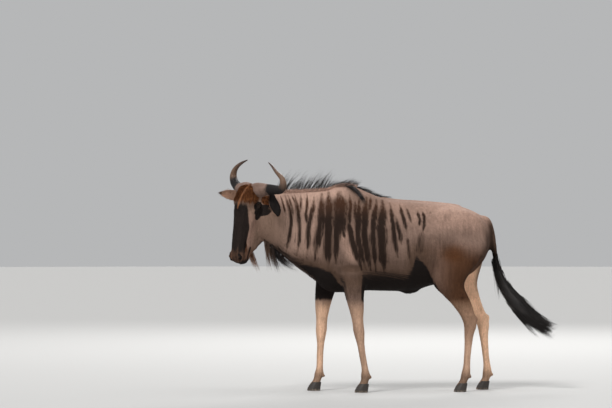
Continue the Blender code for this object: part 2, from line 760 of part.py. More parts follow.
def claw_nodes(leg):
    """The two claws of one foot: flat below, blunt at the heel, pointed and turned a little in at the toe."""
    x, y = at_height(LEG_LINES[leg], HOOF_TOP_Z)
    fore = leg.startswith("fore")
    length, width = (0.082, 0.036) if fore else (0.077, 0.033)
    made = []
    for side, name in ((1, "outer"), (-1, "inner")):
        outward = side if leg.endswith("left") else -side
        rings = []
        for z, long, wide, lead in ((0.0, 1.0, 1.0, 0.0), (0.014, 0.98, 0.98, 0.002), (0.034, 0.88, 0.91, 0.009),
                                    (HOOF_TOP_Z, 0.70, 0.80, 0.019)):
            angle = np.linspace(0, 2 * np.pi, HOOF_SIDES, endpoint=False)
            along = -np.cos(angle)
            taper = np.where(along < 0, 1 - 0.55 * np.abs(along) ** 2.2, 1 - 0.12 * along**2)
            u = length * long / 2 * along
            v = width * wide / 2 * np.sin(angle) * taper
            inner_wall = -width * wide * 0.42
            v = np.maximum(v * 1.12, inner_wall)
            curl = -0.10 * (along < 0) * along**2 * width
            rings.append(np.column_stack([x + outward * (width * 0.5 + CLAW_SPLIT + v + curl),
                                          y + HOOF_LEAD + u + lead, np.full(HOOF_SIDES, z)]))
        made.append(loft(f"hoof_{leg.replace('leg', '')}_{name}", rings))
    return made


def lock(root, way, bend, length, width, face):
    """A flat, tapering lock. It leaves its root along way, is drawn along bend, and its broad side looks along face."""
    way = way.normalized()
    shares = [i / (LOCK_RINGS - 1) for i in range(LOCK_RINGS)]
    path = [root + (way * t + bend * t * t) * length for t in shares]
    rings = []
    for i, (point, t) in enumerate(zip(path, shares)):
        ahead = (path[min(i + 1, LOCK_RINGS - 1)] - path[max(i - 1, 0)]).normalized()
        across = ahead.cross(face).normalized()
        over = across.cross(ahead)
        half = width / 2 * (0.70 + 1.1 * t - 1.72 * t * t)
        deep = max(0.38 * half, 0.0008)
        rings.append([point - across * half, point - over * deep, point + across * half, point + over * deep])
    return loft("lock", rings)


def spread(draw, ends, count, index):
    """A place along ends for one of count pieces, evenly spaced with a little play."""
    return ends[0] + (ends[1] - ends[0]) * (index + 0.5 + draw.uniform(-0.35, 0.35)) / count


def crest_point(tree, y, aside=0.0):
    """The point of the body's top line at y, found from above, and how far the line of the neck is from the middle."""
    rows = np.array(NECK)
    middle = float(np.interp(-y, -rows[:, 1], rows[:, 0])) if y < NECK[0][1] else 0.0
    return tree.ray_cast(Vector((middle + aside, y, 1.6)), Vector((0, 0, -1)))[0]


def mane_locks(body, draw):
    """Upright hair from the poll to the withers that falls to the right over the shoulders, and short hair behind."""
    tree = BVHTree.FromObject(body, bpy.context.evaluated_depsgraph_get())
    made = []
    for index in range(MANE_LOCKS):
        y = spread(draw, MANE_ENDS, MANE_LOCKS, index)
        aside = draw.uniform(-0.014, 0.010)
        root = crest_point(tree, y, aside) - Vector((0, 0, 0.016))
        fall = min(max((y + 0.52) / 0.16, 0), 1)
        rise = 1.0 - 0.62 * fall
        lean = draw.uniform(-0.32, 0.12) - 0.75 * fall
        way = Vector((lean, draw.uniform(0.20, 0.45), rise))
        bend = Vector((-0.10 - 0.10 * fall, draw.uniform(0.10, 0.30), -0.10 - 0.28 * fall))
        length = draw.uniform(*MANE_LENGTH) * (0.80 if y < -0.84 else 1.0)
        face = Vector((1, draw.uniform(-0.4, 0.4), 0.2 + 0.8 * fall))
        made.append(lock(root, way, bend, length, draw.uniform(*MANE_WIDTH), face))
    for index in range(BACK_LOCKS):
        y = spread(draw, BACK_ENDS, BACK_LOCKS, index)
        root = crest_point(tree, y, draw.uniform(-0.016, 0.016)) - Vector((0, 0, 0.014))
        near = 0.55 if index < 2 else draw.uniform(-0.25, 0.20)
        way = Vector((near, 0.85, 0.42))
        bend = Vector((0.10 * near, 0, -0.36))
        made.append(lock(root, way, bend, 0.085, 0.026, Vector((0, -0.4, 1))))
    return made


def beard_locks(body, draw):
    """Hair that hangs along the throat, longest behind the jaw, and sweeps back towards the chest."""
    tree = BVHTree.FromObject(body, bpy.context.evaluated_depsgraph_get())
    rows = np.array(NECK)
    made = []
    for index in range(BEARD_LOCKS):
        y = spread(draw, BEARD_ENDS, BEARD_LOCKS, index)
        x = float(np.interp(-y, -rows[:, 1], rows[:, 0])) + draw.uniform(-0.022, 0.022)
        root = tree.ray_cast(Vector((x, y, 0.3)), Vector((0, 0, 1)))[0] + Vector((0, 0, 0.018))
        back = (y - BEARD_ENDS[0]) / (BEARD_ENDS[1] - BEARD_ENDS[0])
        way = Vector((draw.uniform(-0.12, 0.12), 0.05 + 0.25 * back, -1))
        bend = Vector((draw.uniform(-0.08, 0.08), 0.15 + 0.55 * back, 0.12 * back))
        length = BEARD_LENGTH[1] + (BEARD_LENGTH[0] - BEARD_LENGTH[1]) * back + draw.uniform(-0.02, 0.02)
        face = Vector((1, draw.uniform(-0.6, 0.6), 0))
        made.append(lock(root, way, bend, length, draw.uniform(*BEARD_WIDTH), face))
    return made


def chin_locks(body, draw):
    """The tuft under the chin."""
    tree = BVHTree.FromObject(body, bpy.context.evaluated_depsgraph_get())
    space = head_matrix()
    made = []
    for index in range(CHIN_LOCKS):
        s = 0.345 + 0.050 * index / CHIN_LOCKS
        aim = space @ Vector((draw.uniform(-0.020, 0.020), s, -0.20))
        out = (space.to_3x3() @ Vector((0, 0, 1))).normalized()
        root = tree.ray_cast(aim, out)[0] + out * 0.014
        way = -out * draw.uniform(0.30, 0.55) + Vector((draw.uniform(-0.15, 0.15), 0, -1))
        made.append(lock(root, way, Vector((0, 0.05, -0.1)), draw.uniform(*CHIN_LENGTH), 0.018, Vector((1, 0.3, 0))))
    return made


def tuft_locks(draw):
    """The long hair of the tail, rooted along its core and spreading towards the tip."""
    rows = smooth_rows(TAIL, 60)
    made = []
    for index in range(TUFT_LOCKS):
        share = TUFT_START + (0.90 - TUFT_START) * (index / TUFT_LOCKS) ** 0.9
        here = rows[int(share * 59)]
        after = rows[min(int(share * 59) + 6, 59)]
        ahead = Vector(after[:3] - here[:3]).normalized()
        aside = ahead.cross(Vector((1, 0, 0))).normalized()
        turn = draw.uniform(0, 2 * math.pi)
        out = Vector((1, 0, 0)) * math.cos(turn) * 0.6 + aside * math.sin(turn)
        root = Vector(here[:3]) + out * here[3] * 0.45
        way = ahead + out * draw.uniform(0.10, 0.30)
        bend = Vector((0, 0.14, 0.02)) - out * 0.12
        length = draw.uniform(*TUFT_LENGTH) * (1.0 if share < 0.75 else 0.62)
        made.append(lock(root, way, bend, length, draw.uniform(*TUFT_WIDTH), out + Vector((0.6, 0, 0))))
    return made


def material(name, colour, roughness):
    made = bpy.data.materials.new(name)
    made.use_nodes = True
    shader = made.node_tree.nodes["Principled BSDF"]
    shader.inputs["Base Color"].default_value = (*colour, 1)
    shader.inputs["Roughness"].default_value = roughness
    shader.inputs["Metallic"].default_value = 0.0
    return made


def finish_nodes(nodes):
    """Names, materials, smooth shading and one parent at the model's origin."""
    group = bpy.data.collections.new("wildebeest")
    bpy.context.scene.collection.children.link(group)
    root = bpy.data.objects.new("root", None)
    group.objects.link(root)
    root.location = ORIGIN_SHIFT
    made = {key: material(key, *look) for key, look in MATERIALS.items()}
    for name, obj in nodes.items():
        obj.name = name
        obj.parent = root
        key = name.split("_")[0]
        obj.data.materials.clear()
        obj.data.materials.append(made[key if key in made else "coat"])
        obj.data.shade_smooth()
        obj.data.set_sharp_from_angle(angle=math.radians(50))
        for old in list(obj.users_collection):
            old.objects.unlink(obj)
        group.objects.link(obj)


def build():
    clear_scene()
    body = body_form(VOXEL)
    thinned(body, BODY_TRIANGLES, head_share)
    draw = random.Random(SEED)
    union_all(body, mane_locks(body, draw) + beard_locks(body, draw) + chin_locks(body, draw))
    nodes = part_body(body)
    finish_head(nodes["head"])
    nodes["tail"] = swept("tail", TAIL[:TAIL_SPLIT + 1])
    core = [(x, y, z, radius * TUFT_CORE) for x, y, z, radius in TAIL[TAIL_SPLIT + 1:-1]]
    core.insert(0, TAIL[TAIL_SPLIT])
    nodes["tail_tuft"] = union_all(swept("tail_tuft", core, 10), tuft_locks(draw))
    for side in (1, -1):
        word = "left" if side > 0 else "right"
        nodes["eye_" + word] = eye_node(side)
        horn = nodes["horn_" + word] = clear_of(horn_node(side), nodes["head"])
        nodes["ear_" + word] = clear_of(ear_node(side), nodes["head"], horn)
    clear_of(nodes["tail"], nodes["torso"])
    clear_of(nodes["tail_tuft"], nodes["tail"])
    for leg in LEG_LINES:
        for claw in claw_nodes(leg):
            nodes[claw.name] = claw
    finish_nodes(nodes)


if __name__ == "__main__":
    build()
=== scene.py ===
"""The looks of the wildebeest bull: one skin with its markings, short coat, mane, beard, tail, horns, eyes
and hooves.

Metres, +Z up. The animal faces -Y and its left side is +X. Shapes are made in the space of the part's own
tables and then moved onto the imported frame. Head space runs across to the animal's left, down the face and
out from the face.
"""

import math

import bmesh
import bpy
import numpy as np
from mathutils import Matrix, Vector
from mathutils.bvhtree import BVHTree


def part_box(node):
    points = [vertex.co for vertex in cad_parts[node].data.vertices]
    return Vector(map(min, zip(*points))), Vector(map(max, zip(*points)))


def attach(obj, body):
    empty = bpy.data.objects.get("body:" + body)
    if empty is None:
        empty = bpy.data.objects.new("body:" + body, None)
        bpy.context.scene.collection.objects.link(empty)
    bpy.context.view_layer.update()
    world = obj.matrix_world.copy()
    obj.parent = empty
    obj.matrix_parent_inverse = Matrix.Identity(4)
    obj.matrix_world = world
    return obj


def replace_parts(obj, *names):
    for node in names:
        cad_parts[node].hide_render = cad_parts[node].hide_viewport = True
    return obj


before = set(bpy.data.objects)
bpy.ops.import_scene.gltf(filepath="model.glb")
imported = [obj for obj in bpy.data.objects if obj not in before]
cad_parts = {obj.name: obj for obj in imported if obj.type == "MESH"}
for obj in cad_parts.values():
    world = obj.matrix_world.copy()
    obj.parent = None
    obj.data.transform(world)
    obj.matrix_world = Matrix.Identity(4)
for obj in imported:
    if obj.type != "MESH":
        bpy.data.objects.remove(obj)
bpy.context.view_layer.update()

SEED = 11
FLESH = ("torso", "neck", "head", "foreleg_left", "foreleg_right", "hindleg_left", "hindleg_right", "tail")
SIDES = {"left": 1, "right": -1}

# The skin's grid, how far it is smoothed, and how far it lies inside the solids
VOXEL = 0.007
SMOOTHING_ROUNDS = 26
COAT_DEPTH = 0.0015

# The photograph's frame and the camera, which stands level and a little ahead of square to the animal's left
IMAGE_WIDTH = 612
PIXELS_A_METRE = 154.07
CAMERA_DISTANCE = 20.0
CAMERA_YAW = math.radians(84.0)
CAMERA_HEIGHT = 1.2137
AIM_ACROSS = -94.0
SENSOR = 36.0

# Head pose: the poll, heading from straight ahead towards the animal's left, pitch of the face below level,
# and tilt to the left
HEAD_POLL = Vector((0.150, -1.051, 1.312))
HEAD_TURN = math.radians(34.0)
HEAD_PITCH = math.radians(84.5)
HEAD_TILT = math.radians(-3.5)

# Trunk stations: y, top, height of the widest place, bottom, half width, pinch of the top
TRUNK = (
    (-0.6, 1.18, 1.02, 0.82, 0.07, 1), (-0.55, 1.262, 0.98, 0.715, 0.13, 1.1),
    (-0.47, 1.315, 0.95, 0.655, 0.182, 1.35), (-0.39, 1.343, 0.93, 0.64, 0.208, 1.55),
    (-0.3, 1.332, 0.93, 0.645, 0.226, 1.5), (-0.22, 1.297, 0.93, 0.652, 0.238, 1.3),
    (-0.12, 1.257, 0.93, 0.65, 0.247, 1.12), (0, 1.24, 0.935, 0.648, 0.252, 1),
    (0.1, 1.233, 0.95, 0.656, 0.249, 0.95), (0.195, 1.226, 0.965, 0.682, 0.236, 0.92),
    (0.276, 1.218, 0.98, 0.7, 0.222, 0.9), (0.377, 1.205, 0.985, 0.72, 0.203, 0.92),
    (0.474, 1.172, 0.985, 0.765, 0.172, 0.97), (0.545, 1.128, 0.985, 0.84, 0.122, 1),
    (0.584, 1.06, 0.99, 0.915, 0.05, 1),
)

# Neck stations: x, y, top, height of the widest place, bottom, half width, pinch, heading in degrees
NECK = (
    (0, -0.36, 1.3, 0.99, 0.7, 0.165, 1.4, 0), (0.004, -0.5, 1.312, 0.99, 0.7, 0.146, 1.4, 5),
    (0.017, -0.62, 1.308, 1.01, 0.772, 0.122, 1.4, 10), (0.04, -0.73, 1.304, 1.04, 0.85, 0.103, 1.35, 16),
    (0.068, -0.83, 1.3, 1.08, 0.93, 0.092, 1.25, 22), (0.095, -0.905, 1.29, 1.12, 0.985, 0.082, 1.1, 29),
    (0.112, -0.945, 1.27, 1.15, 1.03, 0.07, 1, 33),
)

# Head stations, in head space: down the face, front, back, half width in front, half width behind
HEAD = (
    (-0.04, -0.09, -0.165, 0.034, 0.034), (-0.026, -0.04, -0.192, 0.064, 0.056),
    (0, -0.014, -0.208, 0.082, 0.066), (0.045, 0.002, -0.222, 0.091, 0.072),
    (0.092, 0.006, -0.232, 0.092, 0.074), (0.138, 0.006, -0.234, 0.088, 0.072),
    (0.185, 0.004, -0.226, 0.08, 0.066), (0.238, 0.004, -0.212, 0.071, 0.057),
    (0.289, 0.005, -0.189, 0.064, 0.048), (0.34, 0.004, -0.165, 0.06, 0.043),
    (0.383, 0.001, -0.144, 0.061, 0.043), (0.419, -0.006, -0.123, 0.063, 0.044),
    (0.449, -0.015, -0.115, 0.064, 0.046), (0.47, -0.032, -0.1, 0.056, 0.038),
    (0.48, -0.052, -0.082, 0.032, 0.022),
)

# Leg stations: height, half depth, half width
FORELEG = (
    (1.04, 0.07, 0.03), (0.96, 0.105, 0.052), (0.88, 0.116, 0.066), (0.79, 0.106, 0.068),
    (0.72, 0.086, 0.06), (0.64, 0.067, 0.051), (0.56, 0.054, 0.044), (0.48, 0.041, 0.037),
    (0.43, 0.0375, 0.037), (0.395, 0.038, 0.039), (0.35, 0.032, 0.033), (0.3, 0.0255, 0.0245),
    (0.22, 0.0235, 0.0215), (0.15, 0.024, 0.0225), (0.11, 0.0315, 0.029), (0.075, 0.0275, 0.0275),
    (0.03, 0.036, 0.036),
)
HINDLEG = (
    (1.11, 0.11, 0.05), (1.02, 0.16, 0.082), (0.94, 0.178, 0.098), (0.86, 0.16, 0.1), (0.79, 0.138, 0.092),
    (0.71, 0.108, 0.075), (0.665, 0.094, 0.064), (0.62, 0.082, 0.054), (0.56, 0.066, 0.044),
    (0.5, 0.052, 0.036), (0.45, 0.046, 0.034), (0.41, 0.04, 0.033), (0.36, 0.0315, 0.0275),
    (0.28, 0.0255, 0.0225), (0.18, 0.024, 0.0215), (0.11, 0.0315, 0.0285), (0.075, 0.0275, 0.0265),
    (0.03, 0.036, 0.035),
)

# The line each leg follows: height, across, along on the left side, along on the right side
LEG_PLACES = {
    "foreleg": ((1.04, 0.135, -0.4, -0.42), (0.88, 0.15, -0.365, -0.43), (0.76, 0.148, -0.322, -0.44),
                (0.64, 0.138, -0.316, -0.474), (0.53, 0.13, -0.3, -0.492), (0.395, 0.124, -0.284, -0.5),
                (0.25, 0.12, -0.262, -0.508), (0.11, 0.117, -0.24, -0.516), (0.03, 0.116, -0.262, -0.548)),
    "hindleg": ((1.11, 0.1, 0.4, 0.4), (0.94, 0.128, 0.385, 0.402), (0.86, 0.135, 0.352, 0.412),
                (0.71, 0.14, 0.296, 0.424), (0.62, 0.138, 0.345, 0.462), (0.56, 0.135, 0.388, 0.496),
                (0.45, 0.13, 0.438, 0.56), (0.36, 0.126, 0.432, 0.57), (0.25, 0.122, 0.424, 0.58),
                (0.11, 0.118, 0.412, 0.592), (0.03, 0.117, 0.378, 0.562)),
}
LEG_LINES = {f"{leg}_{name}": [(z, side * x, left if side > 0 else right) for z, x, left, right in places]
             for leg, places in LEG_PLACES.items() for name, side in SIDES.items()}
LEG_SIZES = {name: FORELEG if name.startswith("fore") else HINDLEG for name in LEG_LINES}

# Muscles on both sides: name, centre, radii, turns about X and Y in degrees. The first two lie further back
# on the right side, by the shoulder's step.
SHOULDER_STEP = -0.035
SIDE_MUSCLES = (
    ("shoulder_blade", (0.112, -0.335, 1.04), (0.082, 0.1, 0.19), (-14, -8), True),
    ("upper_arm", (0.14, -0.385, 0.87), (0.078, 0.135, 0.105), (38, 0), True),
    ("haunch", (0.1, 0.385, 1.03), (0.108, 0.185, 0.15), (-20, 0), False),
    ("hip_point", (0.138, 0.262, 1.135), (0.052, 0.085, 0.05), (0, 0), False),
)
MIDDLE_MUSCLES = (
    ("sheath", (0, 0.07, 0.655), (0.022, 0.07, 0.026), (8, 0)),
    ("brisket", (0, -0.455, 0.735), (0.085, 0.115, 0.085), (-35, 0)),
    ("dewlap", (0.004, -0.545, 0.815), (0.06, 0.085, 0.085), (-40, 0)),
)

# The point of hock or elbow: height, how far behind the leg's line, radii. Then the dewclaws.
HOCK = (0.462, 0.037, (0.017, 0.02, 0.034))
ELBOW = (0.775, 0.075, (0.03, 0.034, 0.04))
JOINT_TURN = -20
DEWCLAW_Z = 0.098
DEWCLAW_PLACE = (0.013, 0.032)
DEWCLAW_RADII = (0.0105, 0.011, 0.015)
DEWCLAW_TURN = 25

# Masses of the head, in head space. On both sides: name, centre, radii, then the turn about X in degrees and
# the turn about Z in radians
SIDE_MASSES = (
    ("brow", (0.068, 0.078, -0.042), (0.026, 0.036, 0.028), 0, 0),
    ("cheek", (0.046, 0.165, -0.15), (0.034, 0.085, 0.066), 25, 0),
    ("cheek_bone", (0.066, 0.19, -0.07), (0.018, 0.075, 0.02), 0, 0.14),
    ("nostril_flare", (0.045, 0.433, -0.034), (0.021, 0.036, 0.028), 0, 0),
    ("upper_lip", (0.034, 0.452, -0.06), (0.03, 0.024, 0.026), 0, 0),
)
CHIN_MASS = ("chin", (0, 0.43, -0.106), (0.038, 0.036, 0.02))
NOSE_MASS = ("nose_bridge", (0, 0.262, -0.022), (0.042, 0.165, 0.032))

# The jaw's fullness towards the throat, in head space: down the face, out from the face, radius, half width
JAW = (
    (0.388, -0.128, 0.027, 0.032), (0.352, -0.152, 0.034, 0.04), (0.315, -0.176, 0.038, 0.046),
    (0.285, -0.196, 0.044, 0.05), (0.245, -0.208, 0.05, 0.05),
)
JAW_STRETCH = 1.3
JAW_TURN = 30

# Detail worked into the skin, as strokes: the points the stroke runs through, its radius and its height.
# These are on the left side of the body and are mirrored.
BODY_STROKES = (
    (((0.21, -0.27, 1.2), (0.235, -0.245, 1.02), (0.215, -0.265, 0.82)), 0.045, -0.007),
    (((0.17, -0.345, 1.27), (0.215, -0.375, 1.08), (0.225, -0.43, 0.9)), 0.05, 0.007),
    (((0.13, -0.52, 1.1), (0.165, -0.49, 0.95), (0.175, -0.455, 0.8)), 0.04, -0.006),
    (((0.215, -0.48, 0.86), (0.225, -0.35, 0.8), (0.215, -0.25, 0.79)), 0.04, -0.005),
    (((0.225, 0.18, 0.98), (0.2, 0.215, 0.84), (0.14, 0.19, 0.72)), 0.045, -0.012),
    (((0.215, 0.235, 0.9), (0.19, 0.245, 0.8), (0.165, 0.235, 0.72)), 0.035, 0.008),
    (((0.17, 0.43, 1.13), (0.205, 0.44, 1), (0.19, 0.46, 0.84)), 0.035, -0.006),
    (((0.13, 0.3, 1.185), (0.18, 0.262, 1.135), (0.205, 0.23, 1.06)), 0.03, 0.005),
    (((0, -0.1, 1.258), (0, 0.15, 1.232), (0, 0.38, 1.206)), 0.035, 0.004),
)

# Ribs: where each crosses the widest place, then its points as across, back from there, height
RIB_LINES = (-0.19, -0.13, -0.07, -0.01, 0.05, 0.11)
RIB_POINTS = ((0.2, -0.02, 1.12), (0.245, 0, 1), (0.235, 0.015, 0.86))
RIB_RADIUS = 0.022
RIB_HEIGHT = 0.0022

# Grooves down both sides of a shin, and hollows before the hock: heights, across, back, radius, height
SHIN_GROOVE = ((0.33, 0.26, 0.17), 0.022, 0.004, 0.012, -0.0035)
HOCK_HOLLOW = ((0.6, 0.555, 0.51), 0.036, 0.022, 0.024, -0.01)

# Strokes of the head, in head space
HEAD_STROKES = (
    (((0.058, 0.14, -0.006), (0.052, 0.24, -0.006), (0.048, 0.35, -0.008)), 0.018, 0.004),
    (((0.078, 0.15, -0.05), (0.07, 0.23, -0.06), (0.058, 0.3, -0.07)), 0.022, 0.004),
    (((0.08, 0.175, -0.095), (0.074, 0.235, -0.125), (0.05, 0.27, -0.175)), 0.024, -0.004),
    (((0.092, 0.06, -0.06), (0.1, 0.084, -0.055), (0.096, 0.112, -0.062)), 0.016, 0.006),
    (((0.088, 0.132, -0.074), (0.085, 0.142, -0.073), (0.082, 0.152, -0.072)), 0.008, -0.004),
    (((0.06, 0.35, -0.055), (0.058, 0.385, -0.06), (0.062, 0.415, -0.06)), 0.012, -0.002),
    (((0.02, 0.12, 0.004), (0.01, 0.18, 0.006), (0, 0.24, 0.006)), 0.02, 0.003),
)
NOSTRIL = ((0.04, 0.462, -0.018), (0.052, 0.452, -0.018), (0.055, 0.436, -0.022), (0.048, 0.424, -0.016))
NOSTRIL_RIM = (0.024, 0.0055)
NOSTRIL_PIT = (0.0125, -0.022, 1.6)
FOREHEAD_RIDGE = (
    (0.034, -0.015, -0.03), (0.022, 0.04, -0.002), (0.01, 0.085, 0.004), (0.004, 0.125, 0.006),
)
RIDGE_STROKE = (0.026, 0.005)
MOUTH = ((0.056, 0.372, -0.098), (0.058, 0.42, -0.088), (0.048, 0.455, -0.082), (0, 0.48, -0.074))
MOUTH_GROOVE = (0.0055, -0.0048)
LIP = (0.014, 0.0028)

# Muzzle and eyes get a finer mesh: places on the muzzle, in head space, and how far round them
MUZZLE_PLACES = ((0, 0.44, -0.03), (0.03, 0.45, -0.06), (-0.03, 0.45, -0.06),
                 (0.04, 0.4, -0.09), (-0.04, 0.4, -0.09))
FINE_MUZZLE = 0.055
FINE_EYE = 0.06
FINEST_EYE = 0.034

# Eyes, in head space: the ball, the way it looks and the way its opening runs. The ball seen is a little
# smaller than the solid.
EYE_RADIUS = 0.0205
EYE_PLACE = (0.0820, 0.100, -0.092)
EYE_LOOK = (1.0, -0.05, 0.42)
EYE_LONG = (0.0, 0.92, 0.4)
EYE_FACETS = 64
EYE_GAP = 0.0003

# Eye opening: half its length and height, how far the lids stand off the ball and reach, and how deep the
# skin sinks
EYE_OPENING = (0.0188, 0.0130)
LID_THICKNESS = 0.0034
LID_REACH = 2.7
LID_SUNK = 0.0035

# Horns, in head space: across, down the face, out from the face, radius
HORN = (
    (0.016, 0.006, -0.098, 0.046), (0.056, 0.003, -0.098, 0.047), (0.1, 0.009, -0.102, 0.04),
    (0.148, 0.018, -0.112, 0.031), (0.196, 0.018, -0.124, 0.027), (0.237, 0, -0.133, 0.024),
    (0.257, -0.04, -0.136, 0.0205), (0.248, -0.09, -0.133, 0.0165), (0.216, -0.134, -0.127, 0.0125),
    (0.166, -0.167, -0.121, 0.0085), (0.11, -0.19, -0.117, 0.0035),
)

# How far each horn is raised in the head's own height, as bumps: height, place along the horn, width.
# Then how much thicker the horn is at mid length.
HORN_RAISE = {"left": ((0.036, 0.36, 0.19), (-0.024, 0.84, 0.12)), "right": ((0.046, 0.50, 0.25),)}
HORN_SWELL = 0.13
HORN_STEPS = 110
HORN_SIDES = 48

# The rough base of a horn: how far it reaches, rings as height and turns a metre, then waves as height, turns
# round the horn, turns along it and share
HORN_BASE = 0.17
HORN_RINGS = (0.0009, 420)
HORN_WAVES = ((0.0016, 7, 31, 0.5), (0.0012, 13, -55, 0.4))

# Ears: share of the length, half width, depth of the cup
EAR = (
    (-0.1, 0.016, 0.014), (0.05, 0.019, 0.016), (0.2, 0.026, 0.018), (0.38, 0.033, 0.017),
    (0.56, 0.033, 0.015), (0.74, 0.027, 0.013), (0.88, 0.016, 0.01), (0.96, 0.009, 0.008),
    (1, 0.003, 0.005),
)
EAR_LENGTH = 0.2
EAR_WALL = 0.0055 * 0.7
EAR_BEND = -0.015
EAR_ARC = 1.45

# Looks of each ear: root, direction, way the cup faces, length, width
EAR_LOOKS = {
    "left": ((0.130, -0.846, 1.262), (0.66, 0.11, -0.74), (-0.66, -0.33, -0.67), 0.186, 1.15),
    "right": ((0.018, -0.998, 1.256), (-0.44, -0.88, 0.14), (0.85, -0.50, -0.05), 0.200, 1.0),
}

# Hooves: length and width of a claw, then its profile as height, shares of the length and width, lead
HOOF_TOP_Z = 0.056
HOOF_LEAD = -0.016
FOOT_OVERLAP = 0.012
CLAW_SPLIT = 0.003
CLAW_SIZES = {"fore": (0.082, 0.036), "hind": (0.077, 0.033)}
CLAW_PROFILE = (
    (0.0, 0.975, 0.97, 0.0), (0.0015, 1.0, 1.0, 0.0), (0.014, 0.98, 0.98, 0.002), (0.034, 0.88, 0.91, 0.009),
    (0.050, 0.765, 0.84, 0.016), (HOOF_TOP_Z, 0.70, 0.80, 0.019),
)

# Tail: x, y, z, radius. The long hair starts at a share of it, on a core that starts at the split.
TAIL_SPLIT = 4
TAIL_SWELL = 1.18
TAIL_SKIN_END = 0.014
TUFT_START = 0.44
TUFT_CORE = 0.74
TAIL = (
    (0, 0.535, 1.118, 0.027), (0.002, 0.573, 1.098, 0.027), (0.004, 0.604, 1.01, 0.022),
    (0.006, 0.622, 0.89, 0.019), (0.008, 0.64, 0.79, 0.02), (0.01, 0.682, 0.676, 0.038),
    (0.012, 0.744, 0.588, 0.058), (0.013, 0.818, 0.512, 0.058), (0.014, 0.898, 0.452, 0.04),
    (0.015, 0.985, 0.408, 0.01),
)

# The way the short coat lies on body, legs and, in head space, face. It leaves places on the nose bare.
LIE_BODY = (0, 0.82, -0.57)
LIE_LIMB = (0, 0.12, -1.0)
LIE_FACE = (0, 0.95, -0.25)
BARE_NOSE = ((0.045, 0.448, -0.01), (-0.045, 0.448, -0.01), (0, 0.47, -0.03))

# Hair: how much of it, and the range of its lengths
COAT_PIECES = 4
TUFTS_A_PIECE = 47000
FACE_HAIRS = 12000
LASHES = 70
MANE_CLUMPS = 64
MANE_EACH = 10
MANE_LENGTH = (0.085, 0.165)
MANE_ENDS = (-0.815, -0.330)
BACK_CLUMPS = 74
BACK_ENDS = (-0.470, -0.105)
FRINGE_HAIRS = 2600
THROAT_HAIRS = 900
THROAT_ENDS = (-0.860, -0.560)
CHIN_CLUMPS = 5
CHIN_EACH = 26
CHIN_LENGTH = (0.070, 0.135)
TAIL_CLUMPS = 210
TAIL_EACH = 20
TUFT_LENGTH = (0.130, 0.230)
TUFT_END = 1.012
EAR_HAIRS = 2600

# Locks under the throat: along, aside, length, then the way and the bend as (back, up), clumps, brownness
BEARD_LOCKS = (
    (-0.88, 0.01, 0.2, (0.04, -1), (0.1, 0.02), 5, 0.75),
    (-0.862, -0.012, 0.185, (0.08, -1), (0.12, 0.05), 4, 0.55),
    (-0.842, 0.006, 0.2, (0.06, -1), (0.12, 0.04), 6, 0.25),
    (-0.822, 0.008, 0.225, (0.02, -1), (0.58, 0.3), 6, 0),
    (-0.798, 0, 0.185, (0.1, -1), (0.62, 0.36), 3, 0.1),
    (-0.77, 0.004, 0.12, (0.25, -1), (0.45, 0.3), 1, 0),
)
BEARD_EACH = 26

# The lock that falls over the left shoulder: places down it, then how many hairs
SHOULDER_LOCK = (
    (0.012, -0.335, 1.33), (0.075, -0.306, 1.318), (0.12, -0.282, 1.272), (0.142, -0.252, 1.232),
)
SHOULDER_HAIRS = 260

